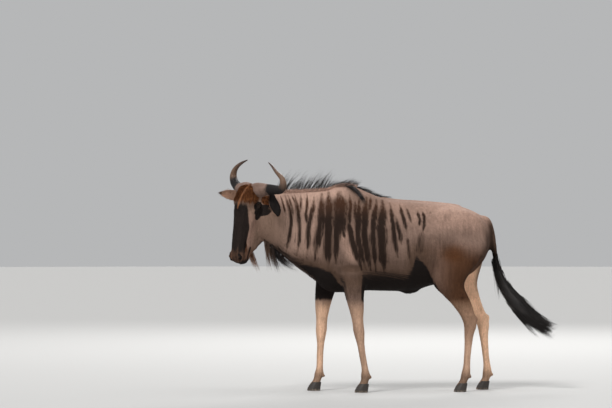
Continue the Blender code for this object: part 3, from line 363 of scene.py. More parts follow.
# Stripes on the left side: half the width, the darkness, then places down the stripe as (along, height)
STRIPES = (
    (0.0052, 0.7, (-0.789, 1.268), (-0.773, 1.206), (-0.762, 1.149)),
    (0.0104, 0.78, (-0.76, 1.271), (-0.734, 1.185), (-0.725, 1.092), (-0.739, 0.988), (-0.755, 0.895)),
    (0.0062, 0.7, (-0.739, 1.273), (-0.715, 1.185), (-0.71, 1.139)),
    (0.0047, 0.55, (-0.717, 1.278), (-0.695, 1.216), (-0.689, 1.159)),
    (0.0098, 0.82, (-0.695, 1.273), (-0.68, 1.185), (-0.672, 1.092), (-0.672, 0.988), (-0.682, 0.88)),
    (0.0067, 0.7, (-0.655, 1.271), (-0.658, 1.206), (-0.673, 1.139)),
    (0.0067, 0.85, (-0.613, 1.276), (-0.617, 1.206), (-0.627, 1.133), (-0.616, 1.066)),
    (0.0114, 0.88, (-0.568, 1.258), (-0.581, 1.18), (-0.604, 1.107), (-0.614, 1.04), (-0.613, 0.957),
     (-0.622, 0.885)),
    (0.0176, 0.88, (-0.517, 1.278), (-0.522, 1.185), (-0.531, 1.092), (-0.547, 1.025), (-0.56, 0.957),
     (-0.568, 0.849)),
    (0.0062, 0.75, (-0.51, 1.05), (-0.533, 0.988), (-0.543, 0.926)),
    (0.0186, 1, (-0.472, 1.286), (-0.479, 1.195), (-0.483, 1.092), (-0.487, 0.988), (-0.49, 0.885),
     (-0.487, 0.828)),
    (0.03, 0.93, (-0.404, 1.286), (-0.406, 1.206), (-0.409, 1.123), (-0.415, 1.071), (-0.423, 0.988)),
    (0.0135, 1, (-0.422, 1.133), (-0.435, 1.04), (-0.44, 0.962), (-0.443, 0.833)),
    (0.0057, 0.75, (-0.394, 1.113), (-0.393, 1.04), (-0.384, 0.988)),
    (0.0078, 0.8, (-0.339, 1.273), (-0.341, 1.195), (-0.351, 1.123), (-0.357, 1.071)),
    (0.0135, 1, (-0.367, 1.123), (-0.349, 1.04), (-0.331, 0.957), (-0.307, 0.885), (-0.274, 0.792)),
    (0.0072, 0.65, (-0.307, 1.237), (-0.313, 1.17), (-0.32, 1.107)),
    (0.0129, 1, (-0.281, 1.244), (-0.29, 1.167), (-0.298, 1.089), (-0.303, 1.027), (-0.293, 0.954),
     (-0.272, 0.866), (-0.246, 0.789)),
    (0.0155, 1, (-0.23, 1.255), (-0.246, 1.182), (-0.256, 1.105), (-0.259, 1.027), (-0.251, 0.944),
     (-0.238, 0.866), (-0.217, 0.789)),
    (0.0072, 0.7, (-0.201, 1.26), (-0.211, 1.213), (-0.225, 1.167)),
    (0.0129, 1, (-0.165, 1.239), (-0.181, 1.167), (-0.199, 1.094), (-0.206, 1.017), (-0.204, 0.944),
     (-0.195, 0.866), (-0.183, 0.778)),
    (0.0186, 1, (-0.126, 1.234), (-0.134, 1.167), (-0.147, 1.094), (-0.152, 1.017), (-0.15, 0.934),
     (-0.14, 0.851), (-0.126, 0.773)),
    (0.0047, 0.65, (-0.118, 1.068), (-0.116, 1.006), (-0.118, 0.944)),
    (0.0104, 0.92, (-0.079, 1.219), (-0.077, 1.141), (-0.074, 1.068), (-0.07, 1.001), (-0.06, 0.929),
     (-0.048, 0.872)),
    (0.0083, 0.8, (-0.052, 1.136), (-0.044, 1.068), (-0.03, 1.011), (-0.027, 0.954)),
    (0.0083, 0.82, (-0.018, 1.208), (-0.009, 1.141), (0.002, 1.089), (0.013, 1.037)),
    (0.0067, 0.65, (0.013, 1.006), (0.022, 0.934), (0.034, 0.841)),
    (0.0062, 0.62, (0.021, 1.193), (0.033, 1.141), (0.044, 1.089)),
    (0.0072, 0.7, (0.091, 1.177), (0.096, 1.131), (0.1, 1.099), (0.089, 1.068)),
    (0.0072, 0.85, (0.125, 1.167), (0.129, 1.131), (0.128, 1.089), (0.115, 1.032)),
    (0.0176, 0.36, (0.112, 1.048), (0.1, 0.965), (0.086, 0.872)),
    (0.0104, 0.28, (0.171, 1.162), (0.178, 1.153)),
)
STRIPE_WIDEN = 1.22

# The upper edge of the black underside: along, height
UNDERSIDE = (
    (-0.9, 0.88), (-0.72, 0.84), (-0.64, 0.812), (-0.58, 0.797), (-0.54, 0.792), (-0.47, 0.78),
    (-0.41, 0.7), (-0.31, 0.7), (-0.277, 0.755), (-0.13, 0.752), (0.02, 0.735), (0.055, 0.8),
    (0.069, 0.871), (0.092, 0.856), (0.153, 0.8), (0.178, 0.75), (0.22, 0.7), (0.45, 0.62),
)

# Colours, linear
GREY_BROWN = (0.150, 0.099, 0.078)
PINK_GREY = (0.272, 0.174, 0.134)
PALE = (0.380, 0.250, 0.195)
WARM_BROWN = (0.068, 0.026, 0.010)
EARTH = (0.078, 0.046, 0.031)
TAN = (0.800, 0.505, 0.335)
CHEEK = (0.215, 0.138, 0.102)
CHEEK_PALE = (0.290, 0.180, 0.138)
MUZZLE = (0.120, 0.064, 0.042)
RUST = (0.125, 0.046, 0.019)
RUST_LIT = (0.290, 0.112, 0.042)
RUST_DARK = (0.024, 0.010, 0.006)
STRIPE_BROWN = (0.013, 0.008, 0.0062)
STRIPE_TOP = (0.046, 0.020, 0.011)
DARK_BROWN = (0.030, 0.018, 0.013)
BLACK = (0.0045, 0.0035, 0.0033)
# Grey of the black coat's streaks: partly grey hair, partly painted sheen.
BLACK_GREY = (0.024, 0.020, 0.019)
MANE_COLOUR = (0.014, 0.010, 0.009)
FRINGE_COLOUR = (0.420, 0.270, 0.210)
BEARD_BROWN = (0.110, 0.062, 0.040)
CHIN_COLOUR = (0.170, 0.078, 0.038)
TAIL_COLOUR = (0.014, 0.011, 0.010)
EAR_INSIDE = (0.400, 0.240, 0.165)
# Back of the ear: partly real dark hair, partly painted shade.
EAR_OUTSIDE = (0.020, 0.015, 0.013)
HORN_PALE = (0.200, 0.128, 0.102)
HORN_BROWN = (0.145, 0.086, 0.056)
HORN_TIP = (0.060, 0.036, 0.030)
HORN_DARK = (0.008, 0.006, 0.006)
HOOF_DARK = (0.022, 0.018, 0.016)
HOOF_LIGHT = (0.060, 0.048, 0.040)
DUST = (0.260, 0.200, 0.150)
IRIS = (0.022, 0.010, 0.005)
IRIS_DARK = (0.009, 0.005, 0.003)
EYE_RIM = (0.014, 0.009, 0.007)
FLOOR_COLOUR = (0.46, 0.455, 0.445)
SKY_COLOUR = (0.90, 0.91, 0.92)
SKY_STRENGTH = 0.52

# Lights. Suns: name, place, softness in degrees, strength. Areas: name, place, aim, size, power.
SUNS = (("key", (7.0, -5.5, 9.5), 18.0, 2.3), ("top", (0.5, 3.0, 9.0), 50.0, 1.0))
AREAS = (("fill", (9.0, 6.5, 3.5), (0, 0, 0.8), (5.0, 4.0), 120),
         ("rim", (-8.0, 2.0, 6.0), (0, 0, 0.9), (4.0, 4.0), 420))

# The coat pieces' bake map: each region's corner and size on it, and the size of one tuft's patch
MAP_REGIONS = {
    "body": (0.00, 0.00, 0.72, 0.62), "head": (0.74, 0.00, 0.24, 0.24),
    "foreleg_left": (0.00, 0.65, 0.17, 0.34), "foreleg_right": (0.19, 0.65, 0.17, 0.34),
    "hindleg_left": (0.38, 0.65, 0.17, 0.34), "hindleg_right": (0.57, 0.65, 0.17, 0.34),
    "tail": (0.78, 0.50, 0.20, 0.49),
}
PATCH = 0.003


def smooth_rows(rows, count):
    """Rows read evenly along a Catmull-Rom curve through the given rows."""
    keys = np.array(rows, float)
    keys = np.vstack([2 * keys[0] - keys[1], keys, 2 * keys[-1] - keys[-2]])
    places = np.linspace(0, len(rows) - 1, count)
    start = np.minimum(places.astype(int), len(rows) - 2)
    t = (places - start)[:, None]
    a, b, c, d = (keys[start + k] for k in range(4))
    return 0.5 * (2 * b + (c - a) * t + (2 * a - 5 * b + 4 * c - d) * t**2 + (3 * b - a - 3 * c + d) * t**3)


def at_height(name, z, count=None):
    """Across and along of a leg's line at height z, by linear reading of its smooth curve."""
    line = LEG_LINES[name]
    rows = smooth_rows(line, count or 8 * len(line))
    order = rows[:, 0].argsort()
    return [np.interp(z, rows[order, 0], rows[order, k]) for k in (1, 2)]


def ramp(value, start, end):
    """An eased rise from 0 at start to 1 at end. Where end is below start it is a fall from 1 at end."""
    low, high = min(start, end), max(start, end)
    t = np.clip((value - low) / (high - low), 0, 1)
    eased = t * t * (3 - 2 * t)
    return eased if start < end else 1 - eased


def oval(a, b, size, inner, outer):
    """1 inside an oval of the given half sizes, 0 outside it, with a soft edge from inner to outer."""
    return ramp(np.hypot(a / size[0], b / size[1]), outer, inner)


def unit(vectors):
    """The vectors, or the one vector, made one unit long."""
    return vectors / np.maximum(np.linalg.norm(vectors, axis=-1, keepdims=True), 1e-9)


def linked(name, data):
    obj = bpy.data.objects.new(name, data)
    bpy.context.scene.collection.objects.link(obj)
    return obj


def from_bmesh(bm, mesh):
    bm.to_mesh(mesh)
    bm.free()
    return mesh


def bmesh_of(*meshes):
    bm = bmesh.new()
    for mesh in meshes:
        bm.from_mesh(mesh)
    return bm


def face_out(obj):
    bm = bmesh_of(obj.data)
    bmesh.ops.recalc_face_normals(bm, faces=bm.faces)
    from_bmesh(bm, obj.data)


def loft(name, rings):
    """A closed skin over rings of equal length, with a flat cap at each end."""
    rings = np.array(rings, float)
    count, around = rings.shape[:2]
    faces = []
    for i in range(count - 1):
        for j in range(around):
            k = (j + 1) % around
            faces.append((i * around + j, i * around + k, (i + 1) * around + k, (i + 1) * around + j))
    faces.append(tuple(range(around))[::-1])
    faces.append(tuple((count - 1) * around + j for j in range(around)))
    mesh = bpy.data.meshes.new(name)
    mesh.from_pydata(rings.reshape(-1, 3).tolist(), [], faces)
    mesh.validate()
    obj = linked(name, mesh)
    face_out(obj)
    return obj


def power(value, exponent):
    return np.sign(value) * np.abs(value) ** exponent


def form(name, rows, around, ring):
    """A loft over stations. Ring gives a station's x, y and z for the sines and cosines round it."""
    angle = np.linspace(0, 2 * np.pi, around, endpoint=False)
    rings = [ring(row, np.sin(angle), np.cos(angle)) for row in rows]
    return loft(name, [np.column_stack(np.broadcast_arrays(*columns)) for columns in rings])


def body_ring(row, low_pinch, sine, cosine):
    """Across a station of the neck or trunk, which is pinched above and below its widest place."""
    x, y, top, wide, bottom, half, pinch, heading = row
    z = np.where(cosine > 0, wide + (top - wide) * cosine, wide + (wide - bottom) * cosine)
    side = half * power(sine, np.where(cosine > 0, pinch, low_pinch))
    turn = math.radians(heading)
    return x + side * math.cos(turn), y + side * math.sin(turn), z


def trunk_form():
    rows = [(0, *row, 0) for row in smooth_rows(TRUNK, 90)]
    return form("trunk_form", rows, 64, lambda row, *turn: body_ring(row, 0.92, *turn))


def neck_form():
    return form("neck_form", smooth_rows(NECK, 45), 48, lambda row, *turn: body_ring(row, 1.05, *turn))


def leg_form(name):

    def ring(row, sine, cosine):
        z, depth, width = row
        x, y = at_height(name, z)
        return x + width * power(sine, 0.9), y - depth * cosine, z

    sizes = LEG_SIZES[name]
    return form(name + "_form", smooth_rows(sizes, 6 * len(sizes)), 32, ring)


def head_matrix():
    """Head space to the space of the tables."""
    ahead = Vector((math.sin(HEAD_TURN), -math.cos(HEAD_TURN), 0))
    left = Vector((math.cos(HEAD_TURN), math.sin(HEAD_TURN), 0))
    down = ahead * math.cos(HEAD_PITCH) - Vector((0, 0, math.sin(HEAD_PITCH)))
    out = ahead * math.sin(HEAD_PITCH) + Vector((0, 0, math.cos(HEAD_PITCH)))
    basis = Matrix((left, down, out)).transposed()
    tilt = Matrix.Rotation(HEAD_TILT, 3, ahead)
    return Matrix.Translation(HEAD_POLL) @ (tilt @ basis).to_4x4()


HEAD_SPACE = head_matrix()
HEAD_AXES = np.array(HEAD_SPACE)[:3, :3]
HEAD_OUT = np.array(HEAD_SPACE.to_3x3() @ Vector((0, 0, 1)))


def to_head(places):
    """Head-space places in the space of the tables."""
    return np.asarray(places, float) @ HEAD_AXES.T + np.array(HEAD_SPACE)[:3, 3]


def in_head_space(points):
    inverse = np.array(HEAD_SPACE.inverted())
    return points @ inverse[:3, :3].T + inverse[:3, 3]


def head_form():

    def ring(row, side, out):
        down, front, back, wide, narrow = row
        share = (out + 1) / 2
        x = (narrow + (wide - narrow) * share) * power(side, 0.80)
        return x, down, (front + back) / 2 + (front - back) / 2 * power(out, 0.72)

    obj = form("head_form", smooth_rows(HEAD, 70), 48, ring)
    obj.data.transform(HEAD_SPACE)
    return obj


def blob(name, centre, radii, turn=(0, 0, 0), space=None, segments=24):
    """An ellipsoid of the three radii, turned about X, Y and Z. A space given is a left-handed one, so the
    faces are flipped."""
    bm = bmesh.new()
    bmesh.ops.create_uvsphere(bm, u_segments=segments, v_segments=segments // 2, radius=1)
    mesh = from_bmesh(bm, bpy.data.meshes.new(name))
    about_x, about_y, about_z = (Matrix.Rotation(angle, 4, axis) for angle, axis in zip(turn, "XYZ"))
    euler = about_z @ about_y @ about_x
    mesh.transform(Matrix.Translation(centre) @ euler @ Matrix.Diagonal((*radii, 1)))
    if space is not None:
        mesh.transform(space)
        mesh.flip_normals()
    return linked(name, mesh)


def muscle_forms():
    """Masses that break the plain run of trunk, neck and legs."""
    made = []
    for side in SIDES.values():
        step = 0.0 if side > 0 else SHOULDER_STEP
        for name, (x, y, z), radii, turn, stepped in SIDE_MUSCLES:
            turn = (math.radians(turn[0]), side * math.radians(turn[1]), 0)
            made.append(blob(name, (side * x, y + step * stepped, z), radii, turn))
    for name, centre, radii, turn in MIDDLE_MUSCLES:
        made.append(blob(name, centre, radii, (math.radians(turn[0]), 0, 0)))
    for name in LEG_LINES:
        joint, back, radii = ELBOW if name.startswith("fore") else HOCK
        x, y = at_height(name, joint)
        made.append(blob("joint_point", (x, y + back, joint), radii, (math.radians(JOINT_TURN), 0, 0)))
        x, y = at_height(name, DEWCLAW_Z)
        for side in SIDES.values():
            centre = (x + side * DEWCLAW_PLACE[0], y + DEWCLAW_PLACE[1], DEWCLAW_Z)
            made.append(blob("dewclaw", centre, DEWCLAW_RADII, (math.radians(DEWCLAW_TURN), 0, 0)))
    return made


def head_masses():
    """Brow, cheek, nose, lip and jaw masses, in head space."""
    made = []
    for side in SIDES.values():
        for name, (across, down, out), radii, tip, turn in SIDE_MASSES:
            turns = (math.radians(tip), 0, side * turn)
            made.append(blob(name, (side * across, down, out), radii, turns, HEAD_SPACE))
    made.append(blob(*CHIN_MASS, space=HEAD_SPACE))
    for down, out, radius, half in JAW:
        radii = (half, radius * JAW_STRETCH, radius)
        made.append(blob("jaw", (0, down, out), radii, (math.radians(JAW_TURN), 0, 0), HEAD_SPACE))
    made.append(blob(*NOSE_MASS, space=HEAD_SPACE))
    return made


def vertex_values(mesh, field):
    """The places (co) or the normals (normal) of all the mesh's vertices, as rows."""
    values = np.zeros(len(mesh.vertices) * 3)
    mesh.vertices.foreach_get(field, values)
    return values.reshape(-1, 3)


def set_vertices(obj, co):
    obj.data.vertices.foreach_set("co", np.asarray(co, float).ravel())
    obj.data.update()


def relax(obj, rounds, softness):
    """Smooths the mesh. Where softness is below 1, a push back each round keeps thin parts from shrinking."""
    mesh = obj.data
    co = vertex_values(mesh, "co")
    count = len(co)
    edges = np.zeros(len(mesh.edges) * 2, int)
    mesh.edges.foreach_get("vertices", edges)
    a, b = edges.reshape(-1, 2).T
    valence = (np.bincount(a, minlength=count) + np.bincount(b, minlength=count))[:, None]
    soft = softness(co)[:, None]
    for step in range(2 * rounds):
        sums = [np.bincount(a, co[b, k], count) + np.bincount(b, co[a, k], count) for k in range(3)]
        share = 0.60 * soft if step % 2 == 0 else -0.62 * soft * (1 - soft)
        co = co + share * (np.column_stack(sums) / valence - co)
    set_vertices(obj, co)


def fused(name, pieces, voxel):
    """One skin round all the pieces, by a voxel remesh of their joined shells."""
    bm = bmesh_of(*(piece.data for piece in pieces))
    for piece in pieces:
        bpy.data.objects.remove(piece)
    obj = linked(name, from_bmesh(bm, bpy.data.meshes.new(name)))
    remesh = obj.modifiers.new("Remesh", "REMESH")
    remesh.mode = "VOXEL"
    remesh.voxel_size = voxel
    graph = bpy.context.evaluated_depsgraph_get()
    mesh = bpy.data.meshes.new_from_object(obj.evaluated_get(graph))
    obj.modifiers.clear()
    old = obj.data
    obj.data = mesh
    bpy.data.meshes.remove(old)
    return obj


def head_share(points):
    """1 on the head, 0 on the rest of the body, with a short blend behind the ears and jaw."""
    head = in_head_space(points)
    ahead = head[:, 2] + 0.20 * head[:, 1] + 0.22
    return np.clip(ahead / 0.06, 0, 1) * ramp(-points[:, 1], 0.78, 0.86)


def body_softness(points):
    """How much each point of the body is smoothed: most on the trunk, less on the shins and the face."""
    shin = np.clip((points[:, 2] - 0.35) / 0.45, 0, 1)
    return 0.35 + 0.65 * shin * (1 - 0.8 * head_share(points))


def swept(name, rows, around):
    """A tapering round bar along rows of x, y, z, radius."""
    rows = smooth_rows(rows, 2 * len(rows) + 1)
    path, radii = rows[:, :3], rows[:, 3]
    ahead = np.gradient(path, axis=0)
    ahead /= np.linalg.norm(ahead, axis=1)[:, None]
    angle = np.linspace(0, 2 * np.pi, around, endpoint=False)
    guide = np.array((1.0, 0, 0))
    rings = []
    for point, tangent, radius in zip(path, ahead, radii):
        across = guide - tangent * guide.dot(tangent)
        across /= np.linalg.norm(across)
        over = np.cross(tangent, across)
        ring = point + radius * np.outer(np.cos(angle), over) + radius * np.outer(np.sin(angle), across)
        rings.append(ring)
    return loft(name, rings)


def refine(obj, wanted, rounds=3):
    """Splits each face that wanted marks into four and eases the new points."""
    bm = bmesh_of(obj.data)
    marked = wanted(np.array([face.calc_center_median() for face in bm.faces]))
    edges = {edge for face, chosen in zip(bm.faces, marked) if chosen for edge in face.edges}
    bmesh.ops.subdivide_edges(bm, edges=list(edges), cuts=1, use_grid_fill=True)
    from_bmesh(bm, obj.data)
    relax(obj, rounds, lambda co: 0.45 * wanted(co))


def near(places, radius):
    """A test for points that lie within the radius of any of the places."""
    places = np.asarray(places, float).reshape(-1, 3)

    def test(points):
        gap = np.full(len(points), np.inf)
        for place in places:
            gap = np.minimum(gap, ((points - place)**2).sum(1))
        return gap < radius**2

    return test


def path_distance(points, path, reach):
    """Distance from each point to a smooth path, no more than reach."""
    rows = smooth_rows(path, 24)
    low, high = rows.min(0) - reach, rows.max(0) + reach
    close = np.flatnonzero(((points > low) & (points < high)).all(1))
    gap = np.full(len(points), float(reach))
    for a, b in zip(rows[:-1], rows[1:]):
        way = b - a
        t = np.clip((points[close] - a) @ way / max(way @ way, 1e-12), 0, 1)
        away = np.linalg.norm(points[close] - a - t[:, None] * way, axis=1)
        gap[close] = np.minimum(gap[close], away)
    return gap


def stroked(obj, path, radius, height, sharpness=1.0):
    """Raises or sinks the skin along a path, by height on the path and nothing a radius away."""
    co = vertex_values(obj.data, "co")
    share = ramp((1 - path_distance(co, path, radius) / radius) * sharpness, 0, 1)
    moved = np.flatnonzero(share)
    co[moved] += vertex_values(obj.data, "normal")[moved] * (height * share[moved])[:, None]
    set_vertices(obj, co)


def mirrored(path, side):
    return [(x * side, y, z) for x, y, z in path]


def leg_stroke(obj, name, side, heights, across, back, radius, height):
    """A stroke down one side of a leg."""
    path = []
    for z in heights:
        x, y = at_height(name, z)
        path.append((x + side * across, y + back, z))
    stroked(obj, path, radius, height)


def work_body(obj):
    """Ribs, muscle edges, folds and tendons."""
    for side in SIDES.values():
        for path, radius, height in BODY_STROKES:
            stroked(obj, mirrored(path, side), radius, height)
        for along in RIB_LINES:
            rib = [(x, along + back, z) for x, back, z in RIB_POINTS]
            stroked(obj, mirrored(rib, side), RIB_RADIUS, RIB_HEIGHT)
    for name in LEG_LINES:
        for side in SIDES.values():
            leg_stroke(obj, name, side, *SHIN_GROOVE)
            if name.startswith("hind"):
                leg_stroke(obj, name, side, *HOCK_HOLLOW)


def work_head(obj):
    """Bones and folds of the face, nostrils, mouth and eyes."""
    for side in SIDES.values():
        for path, radius, height in HEAD_STROKES:
            stroked(obj, to_head(mirrored(path, side)), radius, height)
        for path, *strokes in ((MOUTH, LIP, MOUTH_GROOVE), (NOSTRIL, NOSTRIL_RIM, NOSTRIL_PIT)):
            for stroke in strokes:
                stroked(obj, to_head(mirrored(path, side)), *stroke)
        shape_lids(obj, side)
    stroked(obj, to_head(FOREHEAD_RIDGE), *RIDGE_STROKE)


def eye_axes(side):
    """Centre of the ball, the way it looks, and the long and short ways of the opening."""
    centre = to_head([(side * EYE_PLACE[0], EYE_PLACE[1], EYE_PLACE[2])])[0]
    look = HEAD_AXES @ np.array((side * EYE_LOOK[0], *EYE_LOOK[1:]))
    look /= np.linalg.norm(look)
    long = HEAD_AXES @ np.array(EYE_LONG)
    long -= look * (long @ look)
    long /= np.linalg.norm(long)
    return centre, look, long, np.cross(look, long)


def eye_centres():
    return [eye_axes(side)[0] for side in SIDES.values()]


def shape_lids(obj, side):
    """Opens the skin over the eyeball and draws it up into two lids round the opening."""
    centre, look, long, short = eye_axes(side)
    co = vertex_values(obj.data, "co")
    gap = co - centre
    u, v, h = gap @ long, gap @ short, gap @ look
    around = np.hypot(u, v)
    half, open_ = EYE_OPENING
    almond = open_ * np.sqrt(np.clip(1 - 0.35 * (u / half)**2, 0.2, 1))
    rho = np.hypot(u / half, v / almond)
    inside = (rho < LID_REACH) & (h > -0.25 * EYE_RADIUS)
    ball = np.sqrt(np.clip(EYE_RADIUS**2 - around**2, (0.3 * EYE_RADIUS)**2, None))
    lid = ball + LID_THICKNESS * (1 - 0.8 * ramp(rho, 1.35, 2.0))
    sunk = ball - LID_SUNK
    target = np.where(rho < 1, sunk + (lid - sunk) * ramp(rho, 0.86, 1.0), lid)
    h_new = h + (target - h) * ramp(rho, LID_REACH, 1.25)
    co[inside] += np.outer((h_new - h)[inside], look)
    set_vertices(obj, co)


def cut_feet(obj):
    """Ends the skin a little inside the top of each hoof."""
    bm = bmesh_of(obj.data)
    cut = bmesh.ops.bisect_plane(bm, geom=bm.verts[:] + bm.edges[:] + bm.faces[:],
                                 plane_co=(0, 0, HOOF_TOP_Z - FOOT_OVERLAP), plane_no=(0, 0, 1),
                                 clear_inner=True)
    bmesh.ops.holes_fill(bm, edges=[edge for edge in cut["geom_cut"] if isinstance(edge, bmesh.types.BMEdge)])
    from_bmesh(bm, obj.data)


def skin_form():
    """The one skin over all the nodes of flesh."""
    tail = [(x, y, z, TAIL_SWELL * radius) for x, y, z, radius in TAIL[:TAIL_SPLIT + 1]]
    tail.append((*TAIL[TAIL_SPLIT + 1][:3], TAIL_SKIN_END))
    pieces = [trunk_form(), neck_form(), head_form(), swept("tail_form", tail, 16)]
    pieces += [leg_form(name) for name in LEG_LINES]
    pieces += muscle_forms() + head_masses()
    obj = fused("skin", pieces, VOXEL)
    relax(obj, SMOOTHING_ROUNDS, body_softness)
    refine(obj, lambda points: head_share(points) > 0.3)
    muzzle, eyes = to_head(MUZZLE_PLACES), eye_centres()
    refine(obj, lambda points: near(muzzle, FINE_MUZZLE)(points) | near(eyes, FINE_EYE)(points), 2)
    refine(obj, near(eyes, FINEST_EYE), 1)
    set_vertices(obj, vertex_values(obj.data, "co") - vertex_values(obj.data, "normal") * COAT_DEPTH)
    work_body(obj)
    work_head(obj)
    cut_feet(obj)
    return obj


def line_gap(y, z, path):
    """Distance of each (along, height) from a smooth path, and how far down the path it is."""
    rows = smooth_rows(path, 4 * len(path))
    gap, share = np.full(len(y), np.inf), np.zeros(len(y))
    for index, (a, b) in enumerate(zip(rows[:-1], rows[1:])):
        way = b - a
        t = np.clip(((y - a[0]) * way[0] + (z - a[1]) * way[1]) / (way @ way), 0, 1)
        away = np.hypot(y - a[0] - t * way[0], z - a[1] - t * way[1])
        share = np.where(away < gap, (index + t) / (len(rows) - 1), share)
        gap = np.minimum(gap, away)
    return gap, share


def stripe_amount(points):
    """How dark the stripes are at each point, from 0 to 1. The right side's differ a little."""
    x, y, z = points.T
    middle = np.interp(-y, [-0.3, 0.4, 0.8, 1.0], [0, 0, 0.06, 0.12])
    along = y + np.where(x < middle, 0.012 * np.sin(9.0 * y) + 0.006 * np.sin(31.0 * z), 0.0)
    amount = np.zeros(len(points))
    for half, darkness, *path in STRIPES:
        places = np.array(path)
        low, high = places.min(0) - 3 * half, places.max(0) + 3 * half
        close = np.flatnonzero((along > low[0]) & (along < high[0]) & (z > low[1]) & (z < high[1]))
        if len(close) == 0:
            continue
        gap, share = line_gap(along[close], z[close], path)
        ends = 0.40 + 0.60 * ramp(np.minimum(share, 1 - share), 0.0, 0.24)
        slim = np.interp(along[close], (-0.70, -0.50), (0.76, 1.0))
        reach = half * STRIPE_WIDEN * slim * ends
        amount[close] = np.maximum(amount[close], darkness * ends * ramp(gap / reach, 2.05, 0.05))
    return amount


class Places:
    """Points of the skin with the measures that its marks are drawn by."""

    def __init__(self, points, normals):
        self.points, self.normals = points, normals
        self.x, self.y, self.z = points.T
        self.ahead = -self.y
        self.head = in_head_space(points)
        self.across, self.down, self.out = np.abs(self.head[:, 0]), self.head[:, 1], self.head[:, 2]
        self.face = head_share(points)
        self.body = 1 - self.face
        self.outward = normals[:, 0] * np.sign(self.x)
        # The shoulder patch is a painted pool of light on the shoulder; stripes and the low side's darkening
        # stay off it.
        self.patch = oval(self.y + 0.35 + 0.25 * (self.z - 1.0), self.z - 0.955, (0.088, 0.155), 0.55, 1.10)
        self.ridge = ramp(path_distance(self.head, FOREHEAD_RIDGE, 0.02), 0.014, 0.002)
        waves = 0.012 * np.sin(19 * self.x + 11 * self.y) * ramp(self.ahead, 0.40, 0.50)
        self.belly_edge = np.interp(self.y, *np.array(UNDERSIDE).T) + waves
        # The slanted lower edge of the forelegs' dark; on the far foreleg it ends the body's painted shadow.
        slant = ramp(self.z + 0.35 * (self.y + 0.46), 0.570, 0.655)
        self.forelimb = (np.abs(self.x) < 0.20) * ramp(self.ahead, 0.10, 0.16) * (self.z < 0.76) * slant

    def to_both(self, path, reach):
        """Distance in head space to the path or to its mirror image, no more than reach."""
        return np.minimum(*(path_distance(self.head, mirrored(path, side), reach) for side in SIDES.values()))


